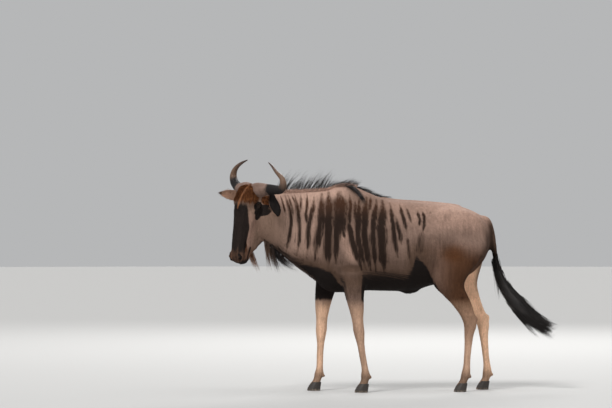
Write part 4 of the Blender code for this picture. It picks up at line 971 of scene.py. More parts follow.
def hide_colour_light_and_shade(m, lines):
    """The coat's colour without its stripes, of which only the warm edges of the lines are in it. It also
    holds
    painted light and shade: a paler shoulder, crest and rump top where the light falls, darker sides, flank,
    thigh and leg fronts where shade falls, painted shadow down the back of the thigh and under the jaw, and
    sunlit tan on the far legs.
    """
    colour = np.tile(np.array(GREY_BROWN), (len(m.points), 1))

    def paint(tint, share):
        colour[:] = colour + (np.array(tint) - colour) * np.clip(share, 0, 1)[:, None]

    def back_and_neck():
        # Partly real paler coat, partly painted light: paler towards the top of the shoulder.
        paint(PINK_GREY, m.body * (0.25 + 0.55 * ramp(m.z, 0.98, 1.22) * ramp(m.y, -0.5, -0.2)
                                   + 0.60 * ramp(m.y, -0.45, -0.62)))
        paint(PALE, 0.75 * m.body * ramp(m.y, -0.48, -0.66))
        # Painted highlight: the crest and withers made pale where the light falls on the top line.
        crest = ramp(m.z, 1.225, 1.27) * ramp(m.y, -0.30, -0.42)
        paint(PALE, 0.90 * crest * m.body)
        # Painted light: the shoulder patch made pale pink-grey.
        paint(PINK_GREY, 0.85 * m.patch * m.body)
        rump = ramp(m.y, 0.02, 0.30) * ramp(m.z, 0.95, 1.14)
        paint(PINK_GREY, 0.95 * rump)
        # Painted highlight on the top of the rump.
        paint(PALE, 0.55 * rump * ramp(m.z, 1.10, 1.17))
        paint(EARTH, 0.42 * ramp(lines, 0.02, 0.45) + 0.36 * m.body * ramp(m.ahead, 0.05, 0.2)
              * ramp(m.ahead, 0.50, 0.42) * ramp(m.z, 1.02, 1.14) * ramp(m.z, 1.30, 1.22))
        throat_side = ramp(m.ahead, 0.70, 0.82) * ramp(m.z, 1.20, 1.10)
        paint(CHEEK, 0.85 * m.body * throat_side)

    # Painted shade: darker on the low side, in the crease behind the elbow, on the flank and, in warm brown,
    # on the lower thigh.
    def shade_of_sides_and_thigh():
        low_side = ramp(m.z, 0.95, 0.82) * ramp(m.ahead, -0.10, -0.02) * ramp(m.z, 0.60, 0.66)
        paint(EARTH, 0.45 * low_side * m.body * (1 - m.patch))
        elbow = oval(m.y + 0.33, m.z - 0.80, (0.11, 0.030), 0.5, 1.1)
        paint(EARTH, 0.70 * elbow * m.body)
        flank = ramp(m.y, -0.02, 0.06) * ramp(m.y, 0.24, 0.12) * ramp(m.z, 1.02, 0.90)
        paint(EARTH, 0.85 * flank * m.body)
        thigh = ramp(m.y, 0.08, 0.36) * ramp(m.z + 0.25 * (m.y - 0.4), 1.00, 0.84) * ramp(m.z, 0.42, 0.60)
        paint(WARM_BROWN, 0.88 * thigh)
        paint(WARM_BROWN, 0.75 * oval(m.y - 0.315, m.z - 0.895, (0.10, 0.075), 0.2, 1.1))

    def legs_and_tail():
        limb = ramp(m.z, 0.62, 0.50)
        behind = ramp(m.y, 0.1, 0.2)
        inner = behind * ramp(m.z, 0.98, 0.84) * ramp(-m.outward, -0.1, 0.5)
        paint(TAN, 0.42 * limb + 0.90 * inner * ramp(np.abs(m.x), 0.02, 0.06))
        # Partly dark hair, partly painted shadow: dark brown down the back edge of the thigh.
        back_edge = behind * ramp(m.z, 0.60, 0.75) * ramp(m.z, 1.10, 0.98) * ramp(m.normals[:, 1], 0.45, 0.85)
        paint(DARK_BROWN, 0.70 * back_edge)
        # Painted sunlight: the far side's lower legs made paler tan where the sun falls on them.
        paint(TAN, 0.60 * limb * (m.x < 0))
        paint(WARM_BROWN, 0.45 * (limb * behind * ramp(m.outward, 0.0, 0.6) * ramp(m.z, 0.28, 0.42)))
        # Painted shade: the lower legs darker on the faces that look forward.
        paint(EARTH, 0.40 * limb * ramp(-m.normals[:, 1], 0.2, 0.9))
        paint(DARK_BROWN, 0.60 * ramp(m.z, 0.17, 0.09))
        tail = ramp(m.y, 0.52, 0.60) * ramp(m.z, 1.13, 1.06) * ramp(np.abs(m.x), 0.062, 0.024)
        paint(EARTH, 0.85 * tail)
        paint(DARK_BROWN, 0.80 * tail * ramp(0.600 + 0.10 * (1.1 - m.z) - m.y, -0.012, 0.012))
        paint(BLACK, tail * ramp(m.z, 0.98, 0.86))

    def face():
        paint(CHEEK, m.face)
        pale = ramp(m.down, 0.130, 0.19) * ramp(m.down, 0.42, 0.36) * ramp(m.out, -0.135, -0.085)
        paint(CHEEK_PALE, 0.80 * m.face * pale)
        # Painted shade: dark brown under the jaw.
        paint(DARK_BROWN, 0.70 * m.face * ramp(m.down, 0.14, 0.20) * ramp(-m.normals @ HEAD_OUT, -0.2, 0.5)
              * ramp(-m.out, 0.13, 0.17))
        paint(MUZZLE, m.face * ramp(m.down, 0.350, 0.400))

    back_and_neck()
    shade_of_sides_and_thigh()
    legs_and_tail()
    face()
    over = ramp(m.z - m.belly_edge, 0.10, 0.0) * ramp(m.ahead, -0.06, 0.0) * ramp(m.ahead, 0.76, 0.66)
    paint(EARTH, 0.80 * over * m.body * ramp(m.z, 0.66, 0.74))
    paint(EARTH, 0.20 * (m.x > 0) * ramp(m.outward, 0.15, 0.60) * m.forelimb)
    paint(RUST_LIT, m.face * m.ridge)
    return colour


def stripe_mark(m, lines):
    """The stripes' lines, with faint streaks between them and on the jowl."""
    barred = ramp(m.ahead, -0.06, 0.10) * ramp(m.ahead, 0.90, 0.80) * ramp(m.z, 0.76, 0.84)
    barred *= ramp(m.z, 1.24, 1.16) * (1 - m.patch)
    jowl = m.face * ramp(m.across, 0.055, 0.080) * ramp(m.down, 0.13, 0.19) * ramp(m.down, 0.35, 0.28)
    return np.maximum.reduce([lines, 0.19 * barred * m.body, 0.16 * jowl])


def body_black_and_shade(m):
    """The black of the belly, the chest, the forelegs and the throat. The throat's black, the far foreleg's
    black above its slanted edge and part of the black on the inner and front faces of the forelegs are
    painted shade.
    """
    thigh_line = ramp(0.13 + (0.86 - m.z) * 0.5 - m.y, -0.02, 0.02)
    foreleg = ramp(m.ahead, 0.26, 0.29) * ramp(m.ahead, 0.435, 0.395) * ramp(m.z, 0.80, 0.74)
    soft = ramp(m.y, -0.42, -0.26) * ramp(m.y, 0.10, 0.04)
    belly = ramp((m.belly_edge - m.z) / (1 + 2.8 * soft), -0.030, 0.022)
    belly = belly * ramp(m.z, 0.56, 0.62) * thigh_line * m.body
    belly *= 1 - 0.96 * ramp(m.outward, 0.15, 0.60) * foreleg * (m.x > 0)
    under = m.body * ramp(-m.normals[:, 2], 0.50, 0.75) * (m.z > 0.62) * (m.y < 0.20) * (m.z < 0.735)
    # Partly real black, partly painted shade: the inner faces of the forelegs and the front of chest and
    # forelegs.
    inside = ramp(-m.outward, -0.2, 0.4)
    front = ramp(-m.normals[:, 1], 0.25, 0.85)
    leg = m.forelimb * np.maximum(inside, 0.60 * front)
    # Painted shade: black on the downward faces of the throat.
    throat = ramp(-m.normals[:, 2], 0.35, 0.75) * (m.y < -0.60) * (m.z < 1.06) * m.body
    # The far foreleg's black above the slanted edge is the body's painted shadow.
    return np.maximum.reduce([belly, under, leg, 0.9 * m.forelimb * (m.x < 0), 0.6 * throat])


def face_black_and_shade(m):
    """The black of the blaze, the nose, the lips, the nostrils, round the eye and behind it. The nostrils'
    black is painted shade; round and below the eye and behind it the black is partly dark hair, partly
    painted shadow of the horn.
    """
    blaze = ramp(m.across, 0.074, 0.060) * ramp(m.down, 0.040, 0.140) * ramp(m.out, -0.068, -0.048)
    blaze *= 1 - 0.46 * ramp(m.down, 0.320, 0.430)
    nose = ramp(m.down, 0.425, 0.465) * ramp(0.5 * m.across - m.out, 0.02, 0.07)
    lip = ramp(m.to_both(MOUTH, 0.03), 0.020, 0.006)
    # Painted shade: black in the nostrils' pits.
    nostril_shade = 1.1 * ramp(m.to_both(NOSTRIL, 0.02), 0.015, 0.006)
    # Partly dark hair, partly painted shadow of the horn: the black patch round and below the eye.
    eye_patch_and_horn_shadow = oval(m.down - 0.123, m.out + 0.124 - 0.5 * (m.down - 0.123), (0.046, 0.056), 0.72, 1.0)
    point = oval(m.down - 0.155, m.out + 0.102, (0.042, 0.026), 0.6, 1.0)
    # Partly dark hair, partly painted shadow of the horn: black behind the eye.
    behind_eye = ramp(-m.out, 0.195, 0.22) * ramp(m.down, 0.11, 0.06) * (m.across > 0.03)
    return np.maximum.reduce([m.face * np.maximum.reduce([blaze, 0.85 * nose, 0.9 * lip, nostril_shade]),
                              m.face * np.maximum(eye_patch_and_horn_shadow, point) * (m.across > 0.045),
                              0.95 * m.face * behind_eye])


def rust_mark(m):
    """The rust of the brow, the temples and the left corner of the mouth."""
    brow = ramp(m.down, 0.140, 0.030) * ramp(m.out, -0.115, -0.07)
    temple = oval(m.down - 0.058, m.out + 0.155, (0.042, 0.050), 0.6, 1.0)
    corner = oval(m.down - 0.365, m.out + 0.055 + 0.2 * (m.down - 0.365), (0.065, 0.020), 0.4, 1.0)
    near_side = m.head[:, 0] > 0
    rust = np.maximum.reduce([brow, temple * (m.across > 0.04), 0.70 * corner * near_side])
    return m.face * np.clip(rust, 0, 1)


def markings(points, normals):
    """At each point: the coat's colour without its stripes, with painted light and shade in it, how black and
    rusty it is, the black holding painted shade too, and the stripes.
    """
    m = Places(points, normals)
    lines = stripe_amount(points) * m.body
    black = np.maximum(body_black_and_shade(m), face_black_and_shade(m)) * (1 - 0.5 * m.ridge * m.face)
    eye = np.hypot(m.down - EYE_PLACE[1], m.out - EYE_PLACE[2])
    lids = m.face * (m.across > 0.045) * ramp(eye, 0.036, 0.024)
    return {"hide": hide_colour_light_and_shade(m, lines), "stripe": stripe_mark(m, lines),
            "black": np.maximum(black, 1.2 * lids),
            "rust": rust_mark(m) * (1 - 0.6 * m.ridge) * (1 - lids), "grain": grain_of(m)}


def grain_of(m):
    """Coordinates that run slowly along the lie of the coat and fast across it."""
    limb = ramp(m.z, 0.86, 0.70)[:, None]
    trunk = np.column_stack([0.16 * (0.80 * m.y - 0.60 * m.z), 0.60 * m.y + 0.80 * m.z, m.x])
    leg = np.column_stack([0.16 * -m.z, m.y, m.x])
    skull = np.column_stack([0.11 * m.down, m.out, m.head[:, 0]])
    made = trunk + (leg - trunk) * limb
    return made + (skull - made) * m.face[:, None]


def put_attributes(mesh, values):
    for name, data in values.items():
        data = np.asarray(data, np.float32)
        kind, field = ("FLOAT", "value") if data.ndim == 1 else ("FLOAT_VECTOR", "vector")
        if name == "hide":
            kind, field = "FLOAT_COLOR", "color"
            data = np.column_stack([data, np.ones(len(data), np.float32)])
        mesh.attributes.new(name, kind, "POINT").data.foreach_set(field, data.ravel())


def neck_middle(y):
    """How far across the middle of the neck is."""
    rows = np.array(NECK)
    return np.where(y < NECK[0][1], np.interp(-y, -rows[:, 1], rows[:, 0]), 0.0)


def turned(sine, cosine):
    return np.arctan2(sine, cosine) / (2 * np.pi) + 0.5


def map_place(points):
    """Where points of the skin lie on its unwrap: rolled-out body, head, legs and tail side by side."""
    x, y, z = points.T
    head = in_head_space(points)
    places = np.zeros((len(points), 2))
    region = np.full(len(points), "body", dtype=object)

    def roll(name, own, share, along):
        places[own] = np.column_stack([share, along])[own]
        region[own] = name

    on_head = head_share(points) > 0.5
    on_tail = (y > 0.60) & (np.abs(x) < 0.12)
    roll("body", np.full(len(points), True), turned(x - neck_middle(y), z - 0.98), (y + 1.0) / 1.65)
    roll("head", on_head, turned(head[:, 0], head[:, 2] + 0.11), (head[:, 1] + 0.12) / 0.62)
    roll("tail", on_tail, turned(x, 0.3 * (y - 0.75) + 0.7 * (z - 0.7)), (1.15 - z) / 0.85)
    for name in LEG_LINES:
        side = 1 if name.endswith("left") else -1
        own = (z < 0.68) & (x * side > 0) & ((y < -0.10) == name.startswith("fore")) & ~on_tail & ~on_head
        across, along = at_height(name, z, 40)
        roll(name, own, turned(x - across, y - along), z / 0.70)
    low = np.array([MAP_REGIONS[name][:2] for name in region])
    size = np.array([MAP_REGIONS[name][2:] for name in region])
    return low + size * np.clip(places, 0.01, 0.99)


def mesh_of(name, verts, corners, sizes):
    """A mesh from its points, the corners of all its faces in a row and each face's number of corners."""
    mesh = bpy.data.meshes.new(name)
    mesh.vertices.add(len(verts))
    mesh.vertices.foreach_set("co", np.asarray(verts, np.float32).ravel())
    mesh.loops.add(len(corners))
    mesh.loops.foreach_set("vertex_index", np.asarray(corners, np.int32))
    mesh.polygons.add(len(sizes))
    starts = np.concatenate([[0], np.cumsum(sizes)[:-1]])
    mesh.polygons.foreach_set("loop_start", starts.astype(np.int32))
    mesh.update(calc_edges=True)
    mesh.validate()
    return mesh


def strand_faces(rings, sides):
    """Corners and sizes of one strand's faces: a base, the sides and the point."""
    corners, sizes = list(range(sides)), [sides]
    for ring in range(rings - 1):
        for side in range(sides):
            after = (side + 1) % sides
            a, b = ring * sides, (ring + 1) * sides
            corners += [a + after, a + side, b + side, b + after]
            sizes.append(4)
    a = (rings - 1) * sides
    for side in range(sides):
        corners += [a + (side + 1) % sides, a + side, rings * sides]
        sizes.append(3)
    return np.array(corners), np.array(sizes)


def strands(name, roots, ways, bends, lengths, widths, faces, looks, rings=5, flat=0.5, belly=0.35):
    """Tapering hairs or locks in one mesh. Each leaves its root along its way and is drawn along its bend."""
    count, sides = len(roots), 3
    shares = np.linspace(0, 1, rings + 1)[:, None, None]
    path = roots + (ways * shares + bends * shares**2) * lengths[:, None]
    ahead = unit(np.gradient(path, axis=0))
    across = unit(np.cross(ahead, faces))
    over = np.cross(across, ahead)
    t = shares[:-1, :, 0]
    half = widths / 2 * (1 - t) ** 0.75 * (1 - belly + belly * np.sin(np.pi * np.minimum(t * 1.6, 1)))
    angle = 2 * np.pi * np.arange(sides) / sides
    around = (np.cos(angle)[:, None] * across[:-1, :, None]
              + flat * np.sin(angle)[:, None] * over[:-1, :, None])
    rows = path[:-1, :, None] + around * half[..., None, None]
    verts = np.concatenate([rows.transpose(1, 0, 2, 3).reshape(count, -1, 3), path[-1][:, None]], axis=1)
    per = rings * sides + 1
    corners, sizes = strand_faces(rings, sides)
    starts = np.arange(count) * per
    mesh = mesh_of(name, verts.reshape(-1, 3), (corners + starts[:, None]).ravel(), np.tile(sizes, count))
    tip = np.tile(np.append(np.repeat(shares[:-1, 0, 0], sides), 1.0), count)
    put_attributes(mesh, {key: np.repeat(data, per, axis=0) for key, data in looks.items()} | {"tip": tip})
    side = np.append(np.tile(np.arange(sides) / sides, rings), 0.5) - 0.5
    patch = np.column_stack([side, tip[:per] - 0.5]) * PATCH
    places = (map_place(roots)[:, None] + patch).reshape(-1, 2)
    index = np.zeros(len(mesh.loops), np.int32)
    mesh.loops.foreach_get("vertex_index", index)
    layer = mesh.uv_layers.new(name="OFBake")
    layer.uv.foreach_set("vector", places[index].astype(np.float32).ravel())
    mesh.shade_smooth()
    return linked(name, mesh)


def lie_of_coat(points, normals):
    """The way the short coat runs at each point."""
    face = head_share(points)[:, None]
    limb = ramp(points[:, 2], 0.80, 0.62)[:, None]
    trunk = np.array(LIE_BODY) + (np.array(LIE_LIMB) - np.array(LIE_BODY)) * limb
    way = trunk + (HEAD_AXES @ np.array(LIE_FACE) - trunk) * face
    way -= normals * (way * normals).sum(1)[:, None]
    return unit(way)


def skin_samples(skin, count, density, rng):
    """Random places on the skin, each with its normal. Density is per point."""
    mesh = skin.data
    mesh.calc_loop_triangles()
    corners = np.zeros(len(mesh.loop_triangles) * 3, np.int32)
    mesh.loop_triangles.foreach_get("vertices", corners)
    corners = corners.reshape(-1, 3)
    co, normals = vertex_values(mesh, "co"), vertex_values(mesh, "normal")
    a, b, c = (co[corners[:, k]] for k in range(3))
    weight = np.linalg.norm(np.cross(b - a, c - a), axis=1) * density((a + b + c) / 3)
    chosen = rng.choice(len(corners), count, p=weight / weight.sum())
    r1, r2 = np.sqrt(rng.random(count)), rng.random(count)
    share = np.column_stack([1 - r1, r1 * (1 - r2), r1 * r2])
    picked = corners[chosen]
    point = (co[picked] * share[..., None]).sum(1)
    return point, unit((normals[picked] * share[..., None]).sum(1))


def coat_length(points):
    """The short coat's length: least on face and shins, most on the lower chest and belly."""
    z = points[:, 2]
    length = 0.0085 + 0.004 * ramp(0.80 - z, 0.0, 0.1) * (z > 0.6)
    return np.where(z < 0.5, 0.0075, length) * (1 - 0.30 * head_share(points))


def short_coat(skin, rng):
    """Short tufts that lie close to the skin and soften its outline."""
    made = []
    eyes, nose = eye_centres(), to_head(BARE_NOSE)

    def density(points):
        bare = near(eyes, 0.022)(points) | near(nose, 0.026)(points)
        return np.where(bare, 0.0, 1.0 + 1.6 * head_share(points)) * (points[:, 2] > HOOF_TOP_Z)

    for index in range(COAT_PIECES):
        point, normal = skin_samples(skin, TUFTS_A_PIECE, density, rng)
        stray = rng.normal(0, 0.17, (len(point), 3))
        lift = rng.uniform(0.14, 0.40, len(point))
        direction = unit(lie_of_coat(point, normal) + normal * lift[:, None] + stray
                         - normal * (stray * normal).sum(1)[:, None])
        length = coat_length(point) * rng.uniform(0.7, 1.35, len(point))
        looks = markings(point, normal) | {"tone": rng.random(len(point))}
        made.append(strands(f"coat_{index + 1}", point - normal * 0.0012, direction, -0.10 * normal, length,
                            length * 0.14, normal, looks, rings=1, flat=0.35, belly=0.0))
    return made


def face_hair(skin, rng):
    """Longer hair of the brow, between the horns and down the black of the face."""

    def density(points):
        marks = markings(points, np.zeros_like(points))
        head = in_head_space(points)
        front = ramp(head[:, 2], -0.13, -0.09) * (head[:, 1] < 0.36)
        clear = ~near(eye_centres(), 0.034)(points)
        return head_share(points) * front * clear * (1.6 * marks["rust"] + 0.5 * (marks["black"] > 0.6))

    point, normal = skin_samples(skin, FACE_HAIRS, density, rng)
    looks = markings(point, normal) | {"tone": rng.random(len(point))}
    brow = np.clip(looks["rust"], 0, 1)
    looks["grain"] = looks["grain"] + rng.normal(0, 0.004, point.shape)
    lift = rng.uniform(0.12, 0.40, len(point))[:, None]
    way = unit(lie_of_coat(point, normal) + normal * lift + rng.normal(0, 0.13, point.shape))
    length = rng.uniform(0.010, 0.016, len(point)) + brow * rng.uniform(0.004, 0.018, len(point))
    width = 0.0010 + 0.0006 * brow
    return strands("face_hair", point - normal * 0.001, way, -0.25 * normal, length, width, normal, looks,
                   rings=2)


def lashes(rng):
    """Stiff black lashes along each upper lid."""
    roots, ways = [], []
    half, open_ = EYE_OPENING
    for side in SIDES.values():
        centre, look, long, short = eye_axes(side)
        up = short if short[2] > 0 else -short
        for u in rng.uniform(-0.9, 0.9, LASHES):
            v = open_ * math.sqrt(1 - 0.8 * u * u) * 1.12
            lift = math.sqrt(max(EYE_RADIUS**2 - v * v - (u * half)**2, 1e-6)) + LID_THICKNESS * 0.6
            roots.append(centre + long * u * half + up * v + look * lift)
            ways.append(look * 0.8 + up * 0.25 + long * u * 0.3 + rng.normal(0, 0.08, 3))
    count = len(roots)
    looks = dark_looks(rng, count, BLACK)
    return strands("lashes", np.array(roots), unit(np.array(ways)), (0.0, 0.0, -0.35),
                   rng.uniform(0.008, 0.015, count), np.full(count, 0.0007), (0.3, 1.0, 0.2), looks, rings=3)


def clumped(rng, rows, each, spread, gather, play):
    """Hairs in clumps. Rows hold each clump's root, way, bend and length. A clump's hairs start spread round
    its root and are gathered towards its own line."""
    rows = np.array(rows)
    count = len(rows) * each
    index = np.repeat(np.arange(len(rows)), each)
    centres, ways, bends, lengths = rows[index, :3], rows[index, 3:6], rows[index, 6:9], rows[index, 9]
    offset = rng.normal(0, 1, (count, 3)) * spread
    length = lengths * rng.uniform(0.72, 1.08, count)
    way = ways + rng.normal(0, play, (count, 3))
    bend = bends + rng.normal(0, play, (count, 3)) - offset * gather / length[:, None]
    return centres + offset, way, bend, length, index


def under_hair(tree, x, y, up=False):
    """The skin's highest point at (x, y), or, looking up, its lowest."""
    start = Vector((x, y, 0.3 if up else 1.7))
    return np.array(tree.ray_cast(start, Vector((0, 0, 1 if up else -1)))[0])


def dark_looks(rng, count, colour, spread=0.35):
    """Marks of long dark hair: its colour, a little uneven from hair to hair."""
    tone = rng.random(count)
    hide = np.array(colour) * (1 + spread * (tone[:, None] - 0.5) * 2)
    zero = np.zeros(count)
    return {"hide": hide, "stripe": zero, "black": zero, "rust": zero, "grain": rng.random((count, 3)),
            "tone": tone}


def spaced(ends, index, count, rng):
    """A place in the index-th of count equal parts of the run between the ends."""
    return ends[0] + (ends[1] - ends[0]) * (index + rng.uniform(0, 1)) / count


def mane(tree, rng):
    """Upright hair on the neck, longer arcs before the withers, and hair that falls over both shoulders."""
    rows = []
    for index in range(MANE_CLUMPS):
        y = spaced(MANE_ENDS, index, MANE_CLUMPS, rng)
        fall = float(ramp(np.array(y), -0.52, -0.38))
        root = under_hair(tree, neck_middle(y) + rng.uniform(-0.014, 0.008), y) - (0, 0, 0.006)
        near_side = -0.42 < y < -0.33 and rng.random() < 0.35
        lean = (0.75 if near_side else -0.80) * fall + rng.uniform(-0.25, 0.12)
        way = (lean, rng.uniform(0.18, 0.50), 1.0 - 0.60 * fall)
        bend = ((0.10 if near_side else -0.14) * (0.5 + fall), rng.uniform(0.10, 0.38), -0.12 - 0.34 * fall)
        rows.append((*root, *way, *bend, rng.uniform(*MANE_LENGTH)))
    for index in range(BACK_CLUMPS):
        y = spaced(BACK_ENDS, index, BACK_CLUMPS, rng)
        before = y < -0.30
        aside = rng.uniform(-0.034, -0.004 if before else 0.006)
        root = under_hair(tree, aside, y) - (0, 0, 0.005)
        way = (rng.uniform(-0.40, 0.15), 0.90, 0.95 if before else 0.36)
        rows.append((*root, *way, -0.05, 0.0, -0.34, rng.uniform(0.055, 0.090)))
    roots, way, bend, length, _ = clumped(rng, rows, MANE_EACH, (0.004, 0.005, 0.001), 0.30, 0.050)
    width = rng.uniform(0.0012, 0.0028, len(roots))
    looks = dark_looks(rng, len(roots), MANE_COLOUR)
    return strands("mane", roots, way, bend, length, width, (1.0, 0.3, 0.2), looks, rings=6)


def crest_fringe(tree, rng):
    """Short pale hair that stands along the foot of the mane on both sides."""
    count = FRINGE_HAIRS
    y = rng.uniform(MANE_ENDS[0] + 0.02, MANE_ENDS[1] + 0.04, count)
    aside = rng.choice((-1, 1), count) * rng.uniform(0.004, 0.026, count)
    roots = np.array([under_hair(tree, neck_middle(v) + s, v) for v, s in zip(y, aside)]) - (0, 0, 0.003)
    way = np.column_stack([np.sign(aside) * rng.uniform(0.1, 0.5, count), rng.uniform(0.1, 0.6, count),
                           rng.uniform(0.7, 1.0, count)])
    looks = dark_looks(rng, count, FRINGE_COLOUR, 0.4)
    return strands("crest_fringe", roots, way, (0.0, 0.2, -0.15), rng.uniform(0.014, 0.034, count),
                   rng.uniform(0.0014, 0.0026, count), (1.0, 0.2, 0.1), looks, rings=3)


def beard(tree, rng):
    """Locks that hang behind the jaw, the last of them swept back, and short hair along the throat."""
    rows = []
    for along, aside, length, way, bend, clumps, brown in BEARD_LOCKS:
        for _ in range(clumps):
            y = along + rng.normal(0, 0.006)
            root = under_hair(tree, neck_middle(y) + aside + rng.normal(0, 0.008), y, True) + (0, 0, 0.006)
            side = rng.uniform(-0.06, 0.06)
            rows.append((*root, side, way[0] + rng.normal(0, 0.03), way[1], -side,
                         bend[0] + rng.normal(0, 0.05), bend[1], length * rng.uniform(0.75, 1.04), brown))
    roots, way, bend, length, index = clumped(rng, rows, BEARD_EACH, (0.004, 0.004, 0.002), 0.7, 0.030)
    y = rng.uniform(*THROAT_ENDS, THROAT_HAIRS)
    aside = rng.normal(0, 0.012, len(y))
    short = np.array([under_hair(tree, neck_middle(v) + s, v, True) for v, s in zip(y, aside)])
    count = len(short)
    roots = np.vstack([roots, short + (0, 0, 0.004)])
    throat = np.column_stack([rng.normal(0, 0.2, count), rng.uniform(0.3, 0.8, count), -np.ones(count)])
    way = np.vstack([way, throat])
    bend = np.vstack([bend, np.tile((0.0, 0.4, 0.2), (count, 1))])
    length = np.append(length, rng.uniform(0.022, 0.055, count))
    looks = dark_looks(rng, len(roots), MANE_COLOUR, 0.4)
    brown = np.append(np.array(rows)[index, 10], np.full(count, 0.3))
    looks["hide"] = looks["hide"] + (np.array(BEARD_BROWN) - looks["hide"]) * brown[:, None]
    width = rng.uniform(0.0012, 0.0028, len(roots))
    return strands("beard", roots, way, bend, length, width, (1.0, 0.3, 0.0), looks, rings=6)


def shoulder_lock(rng):
    """The lock of the mane that has fallen over the left side of the withers."""
    path = smooth_rows(SHOULDER_LOCK, 8)
    count = SHOULDER_HAIRS
    root = path[0] + rng.normal(0, (0.006, 0.012, 0.002), (count, 3))
    tip = path[-1] + rng.normal(0, (0.003, 0.010, 0.010), (count, 3))
    middle = (path[3] + path[4]) / 2 + rng.normal(0, (0.003, 0.006, 0.004), (count, 3))
    bend = 2 * (root + tip - 2 * middle)
    looks = dark_looks(rng, count, MANE_COLOUR)
    width = rng.uniform(0.002, 0.0042, count)
    return strands("shoulder_lock", root, tip - root - bend, bend, np.ones(count), width, (0.8, 0.1, 0.5),
                   looks, rings=6)


def chin_tuft(tree, rng):
    """The rusty tuft under the chin."""
    out = (HEAD_SPACE.to_3x3() @ Vector((0, 0, 1))).normalized()
    rows = []
    for index in range(CHIN_CLUMPS):
        aim = HEAD_SPACE @ Vector((rng.uniform(-0.014, 0.014), 0.385 + 0.025 * index / CHIN_CLUMPS, -0.24))
        root = np.array(tree.ray_cast(aim, out)[0] + out * 0.006)
        way = -np.array(out) * rng.uniform(0.28, 0.58) + (rng.uniform(-0.12, 0.12), 0, -1)
        rows.append((*root, *way, 0, 0.05, -0.1, rng.uniform(*CHIN_LENGTH)))
    roots, way, bend, length, _ = clumped(rng, rows, CHIN_EACH, (0.005, 0.005, 0.003), 0.6, 0.06)
    looks = dark_looks(rng, len(roots), CHIN_COLOUR, 0.5)
    width = rng.uniform(0.0015, 0.0030, len(roots))
    return strands("chin_tuft", roots, way, bend, length, width, (1.0, 0.3, 0.0), looks)


def tail_hair(rng):
    """Long black hair along the lower tail."""
    rows = smooth_rows(TAIL, 200)
    count = TAIL_CLUMPS
    share = TUFT_START - 0.10 + (0.96 - TUFT_START + 0.10) * rng.random(count) ** 0.85
    place = (share * 199).astype(int)
    here, after = rows[place], rows[np.minimum(place + 18, 199)]
    ahead = unit(after[:, :3] - here[:, :3])
    aside = unit(np.cross(ahead, (1.0, 0, 0)))
    turn = rng.uniform(0, 2 * np.pi, count)
    out = np.array((0.7, 0, 0)) * np.cos(turn)[:, None] + aside * np.sin(turn)[:, None]
    centres = here[:, :3] + out * (here[:, 3] * rng.uniform(0.50, 0.92, count))[:, None]
    way = ahead + out * rng.uniform(0.02, 0.20, count)[:, None]
    bend = np.array((0, 0.05, -0.04)) - out * 0.10 + rng.normal(0, 0.05, (count, 3))
    room = np.maximum(TUFT_END - centres[:, 1] - rng.uniform(0, 0.15, count), 0.02)
    length = np.minimum(rng.uniform(*TUFT_LENGTH, count), room / 0.80)
    rows = np.column_stack([centres, way, bend, length])
    roots, way, bend, length, _ = clumped(rng, rows, TAIL_EACH, (0.006, 0.006, 0.006), 0.5, 0.04)
    looks = dark_looks(rng, len(roots), TAIL_COLOUR, 0.45)
    width = rng.uniform(0.0020, 0.0046, len(roots))
    return strands("tail_tuft_hair", roots, way, bend, length, width, (1.0, 0.2, 0.3), looks, rings=6)


def tail_core(rng):
    """What carries the long hair, hidden in it."""
    line = [(x, y, z, radius * TUFT_CORE) for x, y, z, radius in TAIL[TAIL_SPLIT:-1]]
    core = swept("tail_tuft_core", line, 20)
    count = len(core.data.vertices)
    put_attributes(core.data, dark_looks(rng, count, TAIL_COLOUR) | {"tip": np.zeros(count)})
    core.data.shade_smooth()
    return core


def ear_mesh(name):
    """A cupped leaf with thin edges, and the way that its open side faces."""
    root, along, face, length, width = EAR_LOOKS[name]
    along = Vector(along).normalized()
    face = Vector(face)
    face = (face - along * face.dot(along)).normalized()
    across = along.cross(face)
    arc = np.linspace(-1, 1, 17) * EAR_ARC
    rings = []
    for share, half, cup in smooth_rows(EAR, 40):
        half *= width
        outer = np.column_stack([half * np.sin(arc), -cup * np.cos(arc)])
        inner = np.column_stack([(half - EAR_WALL) * np.sin(arc), -(cup - EAR_WALL) * np.cos(arc)])
        bend = EAR_BEND * share**2
        rings.append([Vector(root) + along * (share * length) + across * float(u) + face * float(v + bend)
                      for u, v in np.vstack([outer, inner[::-1]])])
    obj = loft("ear_" + name + "_skin", rings)
    obj.data.shade_smooth()
    return obj, np.array(face)


def ear_looks(points, normals, face, root):
    """The ear's marks: black back and rim, pinkish tan inside. The back's black is partly its real dark hair,
    partly painted shade.
    """
    facing = ramp(normals @ face, 0.15, 0.6)
    away = np.linalg.norm(points - np.array(root), axis=1) / EAR_LENGTH
    colour = np.array(EAR_INSIDE) * facing[:, None] + np.array(EAR_OUTSIDE) * (1 - facing)[:, None]
    # Partly real dark hair, partly painted shade: black on the back of the ear.
    black = (1 - facing) * 0.75 + facing * 0.7 * ramp(away, 0.72, 0.98)
    zero = np.zeros(len(points))
    grain = np.column_stack([away * 0.03, points[:, 2], points[:, 0]])
    return {"hide": colour, "stripe": zero, "black": black, "rust": zero, "grain": grain}


